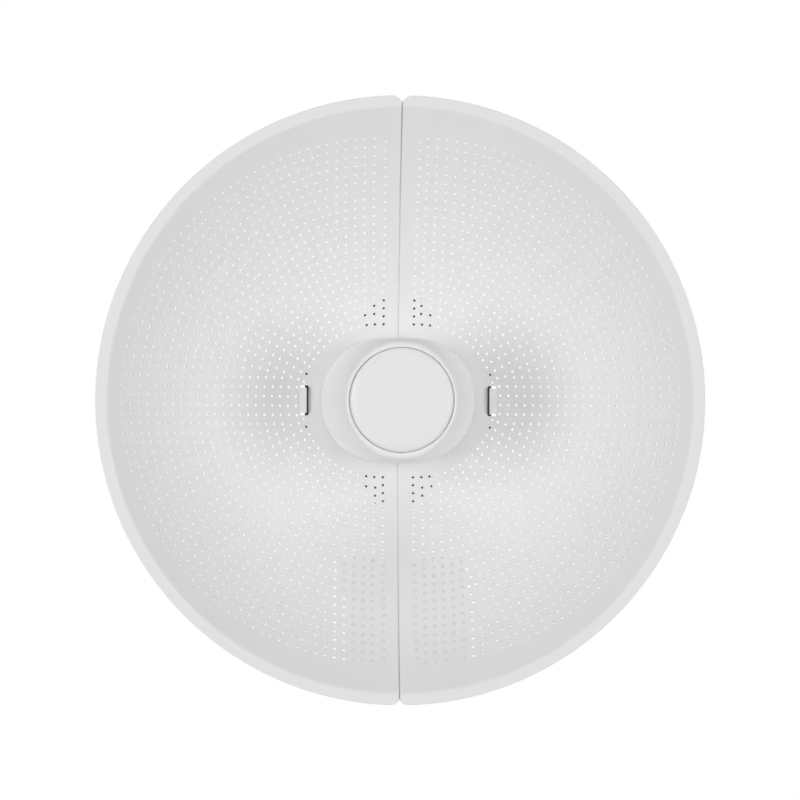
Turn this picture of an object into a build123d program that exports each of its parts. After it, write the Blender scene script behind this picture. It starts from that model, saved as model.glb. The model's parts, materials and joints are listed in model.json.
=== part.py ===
from build123d import *
from math import atan, radians, sin, cos, tan
import os

# Outdoor wireless bridge: a split dish on a hub, tilted on a bracket that clamps a mast.
# Millimetres. The origin is on the mast's axis at the middle of the clamp, +Z is up the mast,
# and the dish faces -Y.

# Dish
dish_diameter = 380.0
dish_focus = 97.0
lip_width = 7.0
lip_return = 4.0
lip_corner = 6.0
sheet = 0.8
seam_gap = 0.6
seam_flange = 8.0
opening_length = 92.0
opening_height = 70.0
window_inner = 58.4
window_outer = 63.5
window_height = 19.4

# Blank plates behind the lower dish
plate_sheet = 0.8
plate_height = 62.0
plate_edge = 27.0
plate_gap = 0.2
plate_corner = 4.0
plate_spans = {"left": (8.0, 37.0), "right": (8.0, 43.0)}

# Feed shroud and cap
feed_height = 109.5
shroud_length = 102.4
shroud_width = 79.6
shroud_wall = 2.4
rim_radius = 34.8
rim_straight = 0.3
cap_radius = 32.4
cap_thickness = 4.0
cap_edge = 1.4
cap_gap = 0.4
ledge_width = 3.0
ledge_thickness = 2.4
seal_radius = 0.9

# Feed parts inside the shroud
reflector_thickness = 1.0
reflector_gap = 9.0
board_thickness = 1.6
feed_board_radius = 27.0
patch_size = 24.0
patch_thickness = 0.8
patch_gap = 4.0
post_radius = 2.5
post_circle = 22.0
line_board_width = 24.0
line_board_thickness = 1.2

# Hub frame behind the dish
frame_depth = 12.4
frame_wall = 2.6
flange_gap = 0.9
hub_width = 47.0
hub_height = 144.0
arm_reach = 60.6
arm_height = 41.0
neck_depth = 8.0
neck_gap = 0.6
seat_gap = 0.3

# Catches in the arms
catch_height = 16.2
catch_pivot_x = 44.5
catch_pivot_depth = 7.0
catch_barrel = 2.0
catch_play = 0.06
catch_thickness = 2.0
catch_riser_x = 59.3
catch_lip_x = 64.1
catch_lip_thickness = 1.4
catch_gap = 0.4

# Rear housing
gasket_thickness = 1.0
gasket_width = 1.4
housing_depth = 30.0
housing_wall = 2.2
housing_edge = 4.0
bay_height = 32.0
cheek_drop = 10.0
cheek_wall = 1.6
door_gap = 0.3
board_boss = 3.2
lid_boss = 3.0
boss_bite = 0.6
lid_head_depth = 4.0
lid_screw_length = 12.0

# Electronics in the housing
main_board_width = 38.0
main_board_drop = 10.0
main_board_depth = 8.0
shield_width = 26.0
shield_gap = 0.8
shield_depth = 4.0
pad_size = 24.0
jack_width = 16.0
jack_depth = 13.4
jack_length = 21.0
socket_width = 11.8
socket_depth = 8.2
socket_length = 14.0
button_radius = 2.0
button_edge = 6.0
button_travel = 0.8
button_play = 0.08
guide_radius = 1.5
guide_pitch = 8.0
guide_count = 4
guide_drop = 24.0

# Cable grommet in the door
grommet_radius = 6.0
grommet_flange = 8.0
grommet_lip = 1.6
grommet_seat = 4.4
cable_radius = 2.6

# Vent plug on the housing
vent_radius = 4.5
vent_rise = 1.2
vent_drop = 12.0
vent_edge = 0.5

# Screws
small_screw = 1.5
small_head = 2.8
small_head_height = 1.8
frame_screw = 2.0
frame_head = 3.6
frame_head_height = 2.4
frame_screw_x = 34.0
frame_screw_z = 18.0
boss_wall = 2.2
boss_depth = 12.0

# Tilt knuckle and bracket
knuckle_plate = 4.0
knuckle_width = 32.0
knuckle_height = 62.0
cheek_thickness = 4.5
knuckle_reach = 24.0
knuckle_radius = 10.0
knuckle_screw_gap = 1.4
bracket_sheet = 3.0
bracket_gap = 0.3
pivot_standoff = 30.0
pivot_radius = 4.0
pivot_play = 0.06
lock_radius = 3.0
lock_circle = 22.0
lock_clearance = 0.3
tilt_limit = 20.0
ear_radius = 11.0
ear_slot_wall = 5.2
washer_thickness = 1.2
washer_extra = 3.6
nut_height_share = 0.8
nut_width_share = 1.6
bolt_head_share = 0.7

# Mast clamp
mast_radius = 25.0
saddle_wall = 11.0
saddle_cup = 11.0
saddle_height = 60.0
saddle_half_width = 49.0
jaw_height = 36.0
jaw_wall = 6.0
clamp_bolt_radius = 4.0
clamp_bolt_x = 40.0
clamp_hole_play = 0.5
nut_play = 0.05
jaw_open = 12.0
clamp_edge = 3.0
cradle_half_width = 30.0
wing_depth = 10.0
bracket_corner = 8.0
bolt_tail = 8.0

# Places along Y, from the mast forward
lip_radius = dish_diameter / 2 - lip_width
saddle_front = -(mast_radius + saddle_wall)
bracket_front = saddle_front - bracket_sheet
pivot_y = bracket_front - pivot_standoff
housing_back = pivot_y - knuckle_reach
housing_front = housing_back - housing_depth
frame_back = housing_front - gasket_thickness
vertex_y = frame_back - frame_depth - seat_gap - sheet
lip_y = vertex_y - lip_radius**2 / (4 * dish_focus)
cap_front = vertex_y - feed_height
neck_front = vertex_y - neck_depth
board_front = housing_front + main_board_depth
board_back = board_front + board_thickness
bay_top = bay_height - hub_height / 2
main_board_top = hub_height / 2 - main_board_drop
board_screw_top = main_board_top - hub_width / 2
plate_low = plate_edge - dish_diameter / 2
housing_floor = housing_back - housing_wall
reflector_back = cap_front + cap_thickness + reflector_thickness
feed_board_front = reflector_back + reflector_gap
feed_board_back = feed_board_front + board_thickness
far = 2 * dish_diameter


def box(x, y, z):
    """A box between pairs of limits."""
    size = [high - low for low, high in (x, y, z)]
    centre = [(high + low) / 2 for low, high in (x, y, z)]
    return Pos(*centre) * Box(*size)


def rod(radius, start, end):
    """A round rod between two points on a line along one axis."""
    start, end = Vector(*start), Vector(*end)
    plane = Plane(origin=start, z_dir=end - start)
    return extrude(plane * Circle(radius), (end - start).length)


def prism(sketch, start, end):
    """A sketch drawn in X and Z, extruded along Y from start to end."""
    plane = Plane(origin=(0, end, 0), x_dir=(1, 0, 0), z_dir=(0, -1, 0))
    return extrude(plane * sketch, end - start)


def side_prism(sketch, start, end):
    """A sketch drawn in Y and Z, extruded along X from start to end."""
    plane = Plane(origin=(start, 0, 0), x_dir=(0, 1, 0), z_dir=(1, 0, 0))
    return extrude(plane * sketch, end - start)


def oval(length, width):
    """An oval with round ends, longer along X."""
    return SlotOverall(length, width)


def upright(width, height):
    """An oval with round ends, longer along Z."""
    return SlotOverall(height, width, rotation=90)


def hexagon_prism(across, start, end):
    """A hexagonal prism between two points, by its width across flats."""
    start, end = Vector(*start), Vector(*end)
    plane = Plane(origin=start, z_dir=end - start)
    return extrude(plane * RegularPolygon(across / 2, 6, major_radius=False), (end - start).length)


def bowl(offset, reach):
    """All that lies ahead of the dish's front surface moved back by offset, out to a radius."""
    apex = vertex_y + offset
    edge_y = apex - reach**2 / (4 * dish_focus)
    curve = Bezier((0, apex), (reach / 2, apex), (reach, edge_y))
    rim = Polyline((reach, edge_y), (reach, -far), (0, -far), (0, apex))
    return revolve(make_face(curve + rim), Axis.Y)


def behind_dish(solid, gap):
    """The part of a solid that lies behind the dish sheet, with a gap."""
    return solid - bowl(sheet + gap, dish_diameter / 2)


def mirrored(solid):
    """The same solid on the other side of the seam."""
    return solid.mirror(Plane.YZ)


def dish_sheet():
    """The whole dish before it is split: a paraboloid with a flat lip and a turned-back edge."""
    slope = atan(lip_radius / (2 * dish_focus))
    outer = dish_diameter / 2
    back_radius = lip_radius + sheet * tan(slope / 2)
    back_apex = vertex_y + sheet
    front = Bezier((0, vertex_y), (lip_radius / 2, vertex_y), (lip_radius, lip_y))
    lip = Polyline(
        (lip_radius, lip_y),
        (outer, lip_y),
        (outer, lip_y + lip_return),
        (outer - sheet, lip_y + lip_return),
        (outer - sheet, lip_y + sheet),
        (back_radius, lip_y + sheet),
    )
    back = Bezier((back_radius, lip_y + sheet), (back_radius / 2, back_apex), (0, back_apex))
    axis_line = Line((0, back_apex), (0, vertex_y))
    return revolve(make_face(front + lip + back + axis_line), Axis.Y)


def seam_flange_strip():
    """The edge of a half that is bent back along the seam, above and below the hub."""
    strip = box((seam_gap / 2, seam_gap / 2 + sheet), (lip_y, vertex_y + far), (-far, far))
    strip &= bowl(sheet + seam_flange, lip_radius - seam_flange)
    strip -= bowl(sheet / 2, dish_diameter / 2)
    clear = hub_height / 2 + flange_gap
    return strip - box((-far, far), (-far, far), (-clear, clear))


def lip_corners():
    """What is cut from the lip at the seam to round its two corners."""
    outer = dish_diameter / 2
    corners = []
    for side in (1, -1):
        centre = (seam_gap / 2 + lip_corner, side * (outer - lip_corner))
        block = Pos(seam_gap / 2 + lip_corner / 2, side * outer) * Rectangle(lip_corner, 2 * lip_corner)
        corner = block - Pos(*centre) * Circle(lip_corner)
        corners.append(prism(corner, lip_y - sheet, lip_y + 2 * lip_return))
    return corners


def dish_half():
    """The right half of the dish."""
    half = dish_sheet() & box((seam_gap / 2, far), (-far, far), (-far, far))
    half += seam_flange_strip()
    half -= prism(oval(opening_length, opening_height), lip_y, vertex_y + 2 * sheet)
    half -= box((window_inner, window_outer), (lip_y, vertex_y), (-window_height / 2, window_height / 2))
    for corner in lip_corners():
        half -= corner
    return half


def back_plate(side):
    """A thin blank plate that lies on the back of one half near its lower edge."""
    near, wide = plate_spans[side]
    sketch = Pos((near + wide) / 2, plate_low + plate_height / 2) * RectangleRounded(
        wide - near, plate_height, plate_corner
    )
    plate = behind_dish(prism(sketch, lip_y, vertex_y + sheet), plate_clearance())
    plate &= bowl(sheet + plate_clearance() + plate_sheet, dish_diameter / 2)
    return mirrored(plate) if side == "left" else plate


def plate_clearance():
    """The sheet is thicker along Y where it is steep, and the plate lies clear of that."""
    slope = atan(lip_radius / (2 * dish_focus))
    return sheet / cos(slope) - sheet + plate_gap


def shroud_form(inset, front):
    """The tapered feed body from the dish to its round rim, or its hollow."""
    base = oval(shroud_length - 2 * inset, shroud_width - 2 * inset)
    rim = oval(2 * (rim_radius - inset) + rim_straight, 2 * (rim_radius - inset))
    plane = Plane(origin=(0, vertex_y, 0), x_dir=(1, 0, 0), z_dir=(0, -1, 0))
    return loft([plane * base, plane.offset(vertex_y - front) * rim])


def feed_shroud():
    """The plastic cover of the feed: hollow, open behind, with a ledge for the cap."""
    ledge_front = cap_front + cap_thickness + 2 * seal_radius
    behind_ledge = box((-far, far), (ledge_front + ledge_thickness, far), (-far, far))
    shroud = shroud_form(0, cap_front)
    shroud -= shroud_form(shroud_wall, cap_front) & behind_ledge
    shroud -= rod(cap_radius + cap_gap, (0, cap_front - sheet, 0), (0, ledge_front, 0))
    shroud -= rod(cap_radius - ledge_width, (0, cap_front, 0), (0, ledge_front + 2 * ledge_thickness, 0))
    for x, z in frame_screw_places():
        span = (x, shroud_length / 2) if x > 0 else (-shroud_length / 2, x)
        rib = box(span, (neck_front - boss_depth, neck_front), (z - boss_wall / 2, z + boss_wall / 2))
        shroud += rib & shroud_form(shroud_wall / 2, cap_front)
        shroud += rod(frame_screw + boss_wall, (x, neck_front - boss_depth, z), (x, neck_front, z))
    for x, z in frame_screw_places():
        shroud -= rod(frame_screw, (x, neck_front - boss_depth + boss_wall, z), (x, neck_front, z))
    shroud &= bowl(-seat_gap, dish_diameter / 2)
    return shroud - neck_solid(neck_gap / 2)


def feed_cap():
    """The round front cap with a rounded edge."""
    cap = rod(cap_radius, (0, cap_front, 0), (0, cap_front + cap_thickness, 0))
    return fillet(cap.edges().sort_by(Axis.Y)[0], cap_edge)


def cap_seal():
    """The ring between the cap and its ledge."""
    plane = Plane(origin=(0, cap_front + cap_thickness + seal_radius, 0), z_dir=(0, 1, 0))
    return plane * Torus(cap_radius - ledge_width / 2, seal_radius)


def reflector_plate():
    """The metal disc behind the cap that throws the waves back at the dish."""
    return rod(cap_radius - ledge_width - cap_gap, (0, cap_front + cap_thickness, 0), (0, reflector_back, 0))


def feed_board():
    """The round board that carries the radiating patch."""
    return rod(feed_board_radius, (0, feed_board_front, 0), (0, feed_board_back, 0))


def post_places():
    """Where the four feed posts stand."""
    step = post_circle / 2**0.5
    return [(x * step, z * step) for x in (-1, 1) for z in (-1, 1)]


def feed_posts():
    """Four nylon posts between the reflector plate and the feed board."""
    posts = [rod(post_radius, (x, reflector_back, z), (x, feed_board_front, z)) for x, z in post_places()]
    return Compound(posts)


def patch_spacers():
    """Four short spacers under the corners of the patch."""
    step = patch_size / 2 - post_radius
    spacers = []
    for x in (-step, step):
        for z in (-step, step):
            spacers.append(rod(post_radius / 2, (x, feed_board_back, z), (x, feed_board_back + patch_gap, z)))
    return Compound(spacers)


def patch_radiator():
    """The square metal patch that faces the dish."""
    front = feed_board_back + patch_gap
    half = patch_size / 2
    slot = line_board_thickness / 2 + cap_gap
    plate = box((-half, half), (front, front + patch_thickness), (-half, half))
    return plate - box((-slot, slot), (front, front + patch_thickness), (-line_half(), line_half()))


def line_half():
    """Half the height of the slot that the line board passes through in the patch."""
    return line_board_width / 4 + cap_gap


def line_board():
    """The upright board that carries the signal from the main board to the feed board."""
    half = line_board_thickness / 2
    wide = line_board_width / 2
    narrow = line_board_width / 4
    patch_back = feed_board_back + patch_gap + patch_thickness
    body = box((-half, half), (patch_back + post_radius, board_front), (-wide, wide))
    return body + box((-half, half), (feed_board_back, board_front), (-narrow, narrow))


def neck_solid(gap):
    """The raised oval of the frame that fills the dish's opening, grown by a gap."""
    return prism(
        oval(opening_length - 2 * neck_gap + 2 * gap, opening_height - 2 * neck_gap + 2 * gap),
        neck_front,
        frame_back,
    )


def cross_form(inset):
    """The outline of the hub behind the dish: an upright oval with an arm to each side."""
    arms = Rectangle(2 * (arm_reach - inset), arm_height - 2 * inset)
    return upright(hub_width - 2 * inset, hub_height - 2 * inset) + arms


def catch_axis():
    """The place of the right catch's pivot in X and Y."""
    return catch_pivot_x, frame_back - frame_depth + catch_pivot_depth


def hub_frame():
    """The moulded frame behind the dish, with its neck, arms and sockets for the catches."""
    frame = behind_dish(prism(cross_form(0), lip_y, frame_back), seat_gap)
    frame += neck_solid(0)
    inset = neck_gap + frame_wall
    hollow = prism(
        oval(opening_length - 2 * inset, opening_height - 2 * inset), neck_front, frame_back - frame_wall
    )
    frame -= hollow - catch_house() - mirrored(catch_house())
    for x, z in frame_screw_places():
        frame += rod(frame_screw + boss_wall, (x, neck_front, z), (x, frame_back, z))
    for x, z in frame_screw_places():
        frame -= rod(frame_screw + seat_gap, (x, neck_front, z), (x, frame_back, z))
        frame -= rod(frame_head + seat_gap, (x, frame_back - frame_head_height, z), (x, frame_back, z))
    slot = line_board_thickness / 2 + seat_gap
    half = line_board_width / 2 + seat_gap
    frame -= box((-slot, slot), (neck_front, frame_back), (-half, half))
    frame -= frame_hollow()
    for x, z in lid_screw_places():
        frame -= rod(small_screw + seat_gap, (x, lip_y, z), (x, frame_back, z))
        frame -= rod(small_head + seat_gap, (x, lip_y, z), (x, frame_back - lid_head_depth, z))
    room = catch_pocket()
    return frame - room - mirrored(room)


def frame_hollow():
    """The room in the upright of the frame above the neck, and the cable bay's room below it."""
    hollow = behind_dish(housing_form(housing_wall, lip_y, frame_back), seat_gap + frame_wall)
    edge = opening_height / 2
    hollow -= box((-far, far), (-far, far), (-edge, edge))
    hollow -= box((-far, far), (-far, far), (bay_top - lid_boss - housing_wall, -edge))
    for x, z in lid_screw_places():
        hollow -= rod(lid_boss + frame_wall / 2, (x, -far, z), (x, frame_back, z))
    return hollow


def lid_screw_places():
    """Where the three screws stand that hold the rear housing to the frame."""
    inner = hub_width / 2 - housing_wall - door_gap
    top = hub_height / 2 - housing_wall - lid_boss + boss_bite
    low = bay_top - lid_boss + boss_bite
    side = inner - lid_boss - boss_bite
    return [(0, top), (-side, low), (side, low)]


def lid_screws():
    """Three screws through the frame into the rear housing."""
    screws = []
    seat = frame_back - lid_head_depth
    for x, z in lid_screw_places():
        shank = rod(small_screw, (x, seat, z), (x, housing_front + lid_screw_length - housing_wall, z))
        screws.append(shank + rod(small_head, (x, seat - small_head_height, z), (x, seat, z)))
    return Compound(screws)


def frame_screw_places():
    """Where the four frame screws stand."""
    return [(x, z) for x in (-frame_screw_x, frame_screw_x) for z in (-frame_screw_z, frame_screw_z)]


def catch_barrel_rod(radius, half_length):
    """A rod on the right catch's pivot axis."""
    x, y = catch_axis()
    return rod(radius, (x, y, -half_length), (x, y, half_length))


def catch_house():
    """The block of the frame that the right catch's pocket is cut from."""
    x, _ = catch_axis()
    half = arm_height / 2
    return box((x - catch_barrel - 2 * frame_wall, far), (-far, frame_back), (-half, half))


def catch_pocket():
    """The room in the right arm for its catch, and the sockets for the ends of its barrel."""
    x, y = catch_axis()
    half = catch_height / 2 + catch_gap
    reach = catch_barrel + frame_wall
    back = frame_back - frame_wall / 2
    room = box((x - reach, far), (y - reach, back), (-half, half))
    room += box((window_inner - frame_wall, far), (-far, back), (-half, half))
    return room + catch_barrel_rod(catch_barrel + catch_play, barrel_half() + catch_gap)


def barrel_half():
    """Half the length of a catch's barrel, which ends inside the arm."""
    return arm_height / 2 - frame_wall / 2


def catch():
    """The right catch: a barrel, a lever, a riser through the window and a lip over the sheet."""
    x, y = catch_axis()
    half = catch_height / 2
    lip_front = vertex_y - catch_lip_x**2 / (4 * dish_focus) - seat_gap - catch_lip_thickness
    riser_back = catch_riser_x + catch_thickness
    lever = box((x, riser_back), (y - catch_thickness / 2, y + catch_thickness / 2), (-half, half))
    riser = box((catch_riser_x, riser_back), (lip_front, y), (-half, half))
    lip = box((catch_riser_x, catch_lip_x), (lip_front, lip_front + catch_lip_thickness), (-half, half))
    return lever + riser + lip + catch_barrel_rod(catch_barrel, barrel_half())


def frame_screws():
    """Four screws through the frame into the shroud's bosses."""
    screws = []
    seat = frame_back - frame_head_height
    for x, z in frame_screw_places():
        shank = rod(frame_screw, (x, neck_front - boss_depth + boss_wall, z), (x, seat, z))
        screws.append(shank + rod(frame_head, (x, seat, z), (x, frame_back, z)))
    return Compound(screws)


def housing_form(inset, start, end):
    """The upright oval body of the rear housing, or its hollow."""
    return prism(upright(hub_width - 2 * inset, hub_height - 2 * inset), start, end)


def housing_outside():
    """The rear housing and the door together, with their back edge rounded."""
    body = housing_form(0, housing_front, housing_back)
    return fillet(body.faces().sort_by(Axis.Y)[-1].edges(), housing_edge)


def board_screw_places():
    """Where the main board's four screws stand."""
    x = main_board_width / 2 - board_boss
    low = bay_top + 4 * board_boss
    return [(side * x, z) for side in (-1, 1) for z in (low, board_screw_top)]


def rear_housing():
    """The shell that holds the electronics, open to the frame, with a floor above the cable bay."""
    shell = housing_outside() - housing_form(housing_wall, housing_front, housing_floor)
    shell -= box((-far, far), (-far, far), (-far, bay_top))
    floor = box((-far, far), (housing_front, housing_back), (bay_top, bay_top + housing_wall))
    shell += floor & housing_outside()
    for x, z in board_screw_places():
        shell += rod(board_boss, (x, board_back, z), (x, housing_floor, z))
        shell -= rod(small_screw, (x, board_back, z), (x, housing_floor, z))
    inner = hub_width / 2 - housing_wall - door_gap
    for side in (-1, 1):
        wall = sorted((side * inner, side * (inner - cheek_wall)))
        reach = (housing_front, housing_back - housing_edge - door_gap)
        shell += box(wall, reach, (bay_top - cheek_drop, bay_top + housing_wall))
    for x, z in lid_screw_places():
        boss_back = housing_front + lid_screw_length
        shell += rod(lid_boss, (x, housing_front, z), (x, boss_back, z))
        shell -= rod(small_screw, (x, housing_front, z), (x, boss_back - housing_wall, z))
    for x, z in guide_places():
        shell -= rod(guide_radius, (x, housing_floor, z), (x, housing_back, z))
    shell -= box(
        (-jack_width / 2 - door_gap, jack_width / 2 + door_gap),
        (board_back - door_gap, board_back + jack_depth + door_gap),
        (bay_top, bay_top + housing_wall),
    )
    x, y = button_place()
    return shell - rod(button_radius + button_play, (x, y, bay_top), (x, y, bay_top + housing_wall))


def housing_gasket():
    """The seal between the frame and the housing."""
    inset = (housing_wall - gasket_width) / 2
    ring = housing_form(inset, frame_back, housing_front)
    return ring - housing_form(inset + gasket_width, frame_back, housing_front)


def main_board():
    """The upright main board, with a rounded top like the housing."""
    inside = housing_form(housing_wall + 2 * door_gap, board_front, board_back)
    half = main_board_width / 2
    board = inside & box((-half, half), (-far, far), (bay_top + housing_wall, main_board_top))
    for x, z in board_screw_places():
        board -= rod(small_screw, (x, board_front, z), (x, board_back, z))
    return board


def board_screws():
    """Four small screws that hold the main board to the housing's bosses."""
    screws = []
    for x, z in board_screw_places():
        shank = rod(small_screw, (x, board_front, z), (x, board_back + 2 * board_boss, z))
        screws.append(shank + rod(small_head, (x, board_front - small_head_height, z), (x, board_front, z)))
    return Compound(screws)


def shield_can():
    """The pressed metal can over the radio parts, behind the main board."""
    half = shield_width / 2
    body = box((-half, half), (board_back, board_back + shield_depth), shield_span())
    return fillet(body.edges().filter_by(Axis.Y), 2 * seat_gap)


def shield_span():
    """The shield can's lower edge above the jack, and its upper edge below the top screws."""
    return bay_top + jack_length + 2 * shield_gap, board_screw_top - board_boss - shield_gap


def thermal_pad():
    """The soft pad that carries heat from the shield can to the housing's back."""
    half = pad_size / 2
    middle = sum(shield_span()) / 2
    return box((-half, half), (board_back + shield_depth, housing_floor), (middle - half, middle + half))


def ethernet_jack():
    """The socket on the main board, opening down into the cable bay."""
    half = jack_width / 2
    centre = board_back + jack_depth / 2
    jack = box((-half, half), (board_back, board_back + jack_depth), (bay_top, bay_top + jack_length))
    mouth = box(
        (-socket_width / 2, socket_width / 2),
        (centre - socket_depth / 2, centre + socket_depth / 2),
        (bay_top, bay_top + socket_length),
    )
    return jack - mouth


def button_place():
    """The reset button's axis in X and Y, beside the jack."""
    return main_board_width / 2 - button_edge, board_back + jack_depth / 2


def reset_button():
    """The round button that is pressed up through the bay's roof."""
    x, y = button_place()
    low = bay_top - button_travel
    stem = rod(button_radius, (x, y, low), (x, y, bay_top + housing_wall + button_travel))
    collar_low = bay_top + housing_wall + seat_gap
    return stem + rod(button_radius + button_travel, (x, y, collar_low), (x, y, collar_low + button_travel))


def reset_switch():
    """The small switch on the main board that the button presses."""
    x, y = button_place()
    low = bay_top + housing_wall + 2 * (button_travel + seat_gap)
    across = (x - button_radius, x + button_radius)
    return box(across, (board_back, y + button_radius), (low, low + small_head))


def guide_places():
    """Where the light guides come through the housing's back."""
    first = -guide_pitch * (guide_count - 1) / 2
    return [(first + i * guide_pitch, hub_height / 2 - guide_drop) for i in range(guide_count)]


def light_guides():
    """A row of clear guides from the main board to the housing's back."""
    return Compound([rod(guide_radius, (x, board_back, z), (x, housing_back, z)) for x, z in guide_places()])


def vent_plug():
    """The round breathing plug high on the housing's back."""
    z = hub_height / 2 - vent_drop
    plug = rod(vent_radius, (0, housing_back, z), (0, housing_back + vent_rise, z))
    return fillet(plug.edges().sort_by(Axis.Y)[-1], vent_edge)


def cable_door():
    """The sliding lower end of the housing, which covers the cable bay."""
    shell = housing_outside() - housing_form(housing_wall, housing_front - door_gap, housing_floor)
    shell -= box((-far, far), (-far, far), (bay_top - door_gap, far))
    x, y, bottom = grommet_place()
    boss = rod(grommet_flange + grommet_lip, (x, y, bottom), (x, y, bottom + grommet_seat))
    shell += boss & housing_outside()
    shell -= box((-far, far), (housing_front - far, housing_front + door_gap), (-far, far))
    return shell - rod(grommet_radius, (x, y, bottom - far), (x, y, bottom + 2 * grommet_seat))


def grommet_place():
    """The cable's way out: its axis in X and Y, and the door's lowest point."""
    return 0, (housing_front + housing_back) / 2, -hub_height / 2


def cable_grommet():
    """The rubber bush in the door, with a bore for the network cable."""
    x, y, bottom = grommet_place()
    top = bottom + grommet_seat
    bush = rod(grommet_radius, (x, y, bottom), (x, y, top))
    bush += rod(grommet_flange, (x, y, top), (x, y, top + grommet_lip))
    return bush - rod(cable_radius, (x, y, bottom - grommet_lip), (x, y, top + grommet_seat))


def knuckle_screw_places():
    """Where the four screws of the knuckle's plate stand."""
    z = knuckle_height / 2 - 2 * small_head
    x = knuckle_width / 2 - cheek_thickness - small_head - knuckle_screw_gap
    return [(sx * x, sz * z) for sx in (-1, 1) for sz in (-1, 1)]


def ear_outline(radius, root_y, root_half):
    """The side view of an ear: round about the pivot, widened over the lock bolt, wide at its root."""
    pivot = Pos(pivot_y, 0) * Circle(radius)
    lock = Pos(pivot_y, lock_circle) * Circle(radius - pivot_radius + lock_radius)
    root = [Pos(root_y, z) * Circle(lock_clearance) for z in (-root_half, root_half)]
    return make_hull((pivot + lock + root[0] + root[1]).edges())


def knuckle():
    """The cast part on the housing's back, with two cheeks that turn about the pivot bolt."""
    half = knuckle_width / 2
    tall = knuckle_height / 2
    plate = box((-half, half), (housing_back, housing_back + knuckle_plate), (-tall, tall))
    plate = fillet(plate.edges().filter_by(Axis.Y), 2 * small_head)
    outline = ear_outline(knuckle_radius, housing_back + knuckle_plate / 2, lock_circle)
    cheeks = side_prism(outline, half - cheek_thickness, half)
    part = plate + cheeks + mirrored(cheeks)
    part -= rod(pivot_radius + pivot_play, (-far, pivot_y, 0), (far, pivot_y, 0))
    part -= rod(lock_radius + pivot_play, (-far, pivot_y, lock_circle), (far, pivot_y, lock_circle))
    for x, z in knuckle_screw_places():
        part -= rod(small_screw + seat_gap, (x, housing_back, z), (x, housing_back + knuckle_plate, z))
    return part


def knuckle_screws():
    """Four screws that hold the knuckle to the housing's back wall."""
    screws = []
    seat = housing_back + knuckle_plate
    for x, z in knuckle_screw_places():
        shank = rod(small_screw, (x, housing_back, z), (x, seat, z))
        screws.append(shank + rod(small_head, (x, seat, z), (x, seat + small_head_height, z)))
    return Compound(screws)


def tilt_slot(start, end):
    """The arc slot for the lock bolt, cut through an ear."""
    middle = CenterArc((pivot_y, 0), lock_circle, 90 - tilt_limit, 2 * tilt_limit)
    slot = SlotArc(middle, 2 * (lock_radius + lock_clearance))
    return side_prism(slot, start, end)


def tilt_bracket():
    """The bent steel bracket: a plate on the saddle and two ears that hold the pivot bolt."""
    half = saddle_half_width
    plate = box((-half, half), (bracket_front, saddle_front), (-saddle_height / 2, saddle_height / 2))
    plate = fillet(plate.edges().filter_by(Axis.Y), bracket_corner)
    inner = knuckle_width / 2 + bracket_gap
    slot_end = Circle(lock_radius + lock_clearance + ear_slot_wall)
    fan = ear_outline(ear_radius, bracket_front, lock_circle)
    for side in (-1, 1):
        angle = radians(90 + side * tilt_limit)
        end = Pos(pivot_y + lock_circle * cos(angle), lock_circle * sin(angle)) * slot_end
        fan = make_hull((fan + end).edges())
    ear = side_prism(fan, inner, inner + bracket_sheet)
    ear &= box((0, far), (-far, saddle_front), (-far, far))
    bracket = plate + ear + mirrored(ear)
    bracket -= rod(pivot_radius, (-far, pivot_y, 0), (far, pivot_y, 0))
    bracket -= tilt_slot(-far, far)
    for x in (-clamp_bolt_x, clamp_bolt_x):
        bracket -= rod(clamp_bolt_radius + nut_play, (x, bracket_front, 0), (x, saddle_front, 0))
    return bracket


def cross_bolt(radius, z, gap):
    """A hexagon bolt along X through both ears, with its head to the right."""
    outside = knuckle_width / 2 + bracket_gap + bracket_sheet + gap + washer_thickness
    head = 2 * radius * bolt_head_share
    tail = outside + 2 * radius * nut_height_share + radius
    across = 2 * radius * nut_width_share
    bolt = rod(radius, (-tail, pivot_y, z), (outside, pivot_y, z))
    return bolt + hexagon_prism(across, (outside, pivot_y, z), (outside + head, pivot_y, z))


def cross_washers(radius, z, gap):
    """The two washers of a cross bolt, outside the ears."""
    inside = knuckle_width / 2 + bracket_gap + bracket_sheet + gap
    washer = rod(radius + washer_extra, (inside, pivot_y, z), (inside + washer_thickness, pivot_y, z))
    washer -= rod(radius, (inside - far, pivot_y, z), (inside + far, pivot_y, z))
    return Compound([washer, mirrored(washer)])


def cross_nut(radius, z, gap):
    """The hexagon nut of a cross bolt, outside the left ear."""
    outside = knuckle_width / 2 + bracket_gap + bracket_sheet + gap + washer_thickness
    height = 2 * radius * nut_height_share
    across = 2 * radius * nut_width_share
    nut = hexagon_prism(across, (-outside - height, pivot_y, z), (-outside, pivot_y, z))
    return nut - rod(radius, (-far, pivot_y, z), (0, pivot_y, z))


def clamp_half(outer_y, cup_y, height):
    """A clamp half with a round cradle for the mast between two thinner wings for the bolts."""
    half = saddle_half_width
    wing_y = outer_y - wing_depth if outer_y > 0 else outer_y + wing_depth
    wings = box((-half, half), sorted((outer_y, wing_y)), (-height / 2, height / 2))
    wings = fillet(wings.edges().filter_by(Axis.Y), clamp_edge)
    cradle = box((-cradle_half_width, cradle_half_width), sorted((outer_y, cup_y)), (-height / 2, height / 2))
    block = wings + cradle
    return block - rod(mast_radius, (0, 0, -far), (0, 0, far))


def mast_saddle():
    """The fixed clamp block between the bracket and the mast."""
    saddle = clamp_half(saddle_front, saddle_cup - mast_radius, saddle_height)
    for x in (-clamp_bolt_x, clamp_bolt_x):
        saddle -= rod(clamp_bolt_radius + nut_play, (x, saddle_front, 0), (x, 0, 0))
    return saddle


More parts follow.
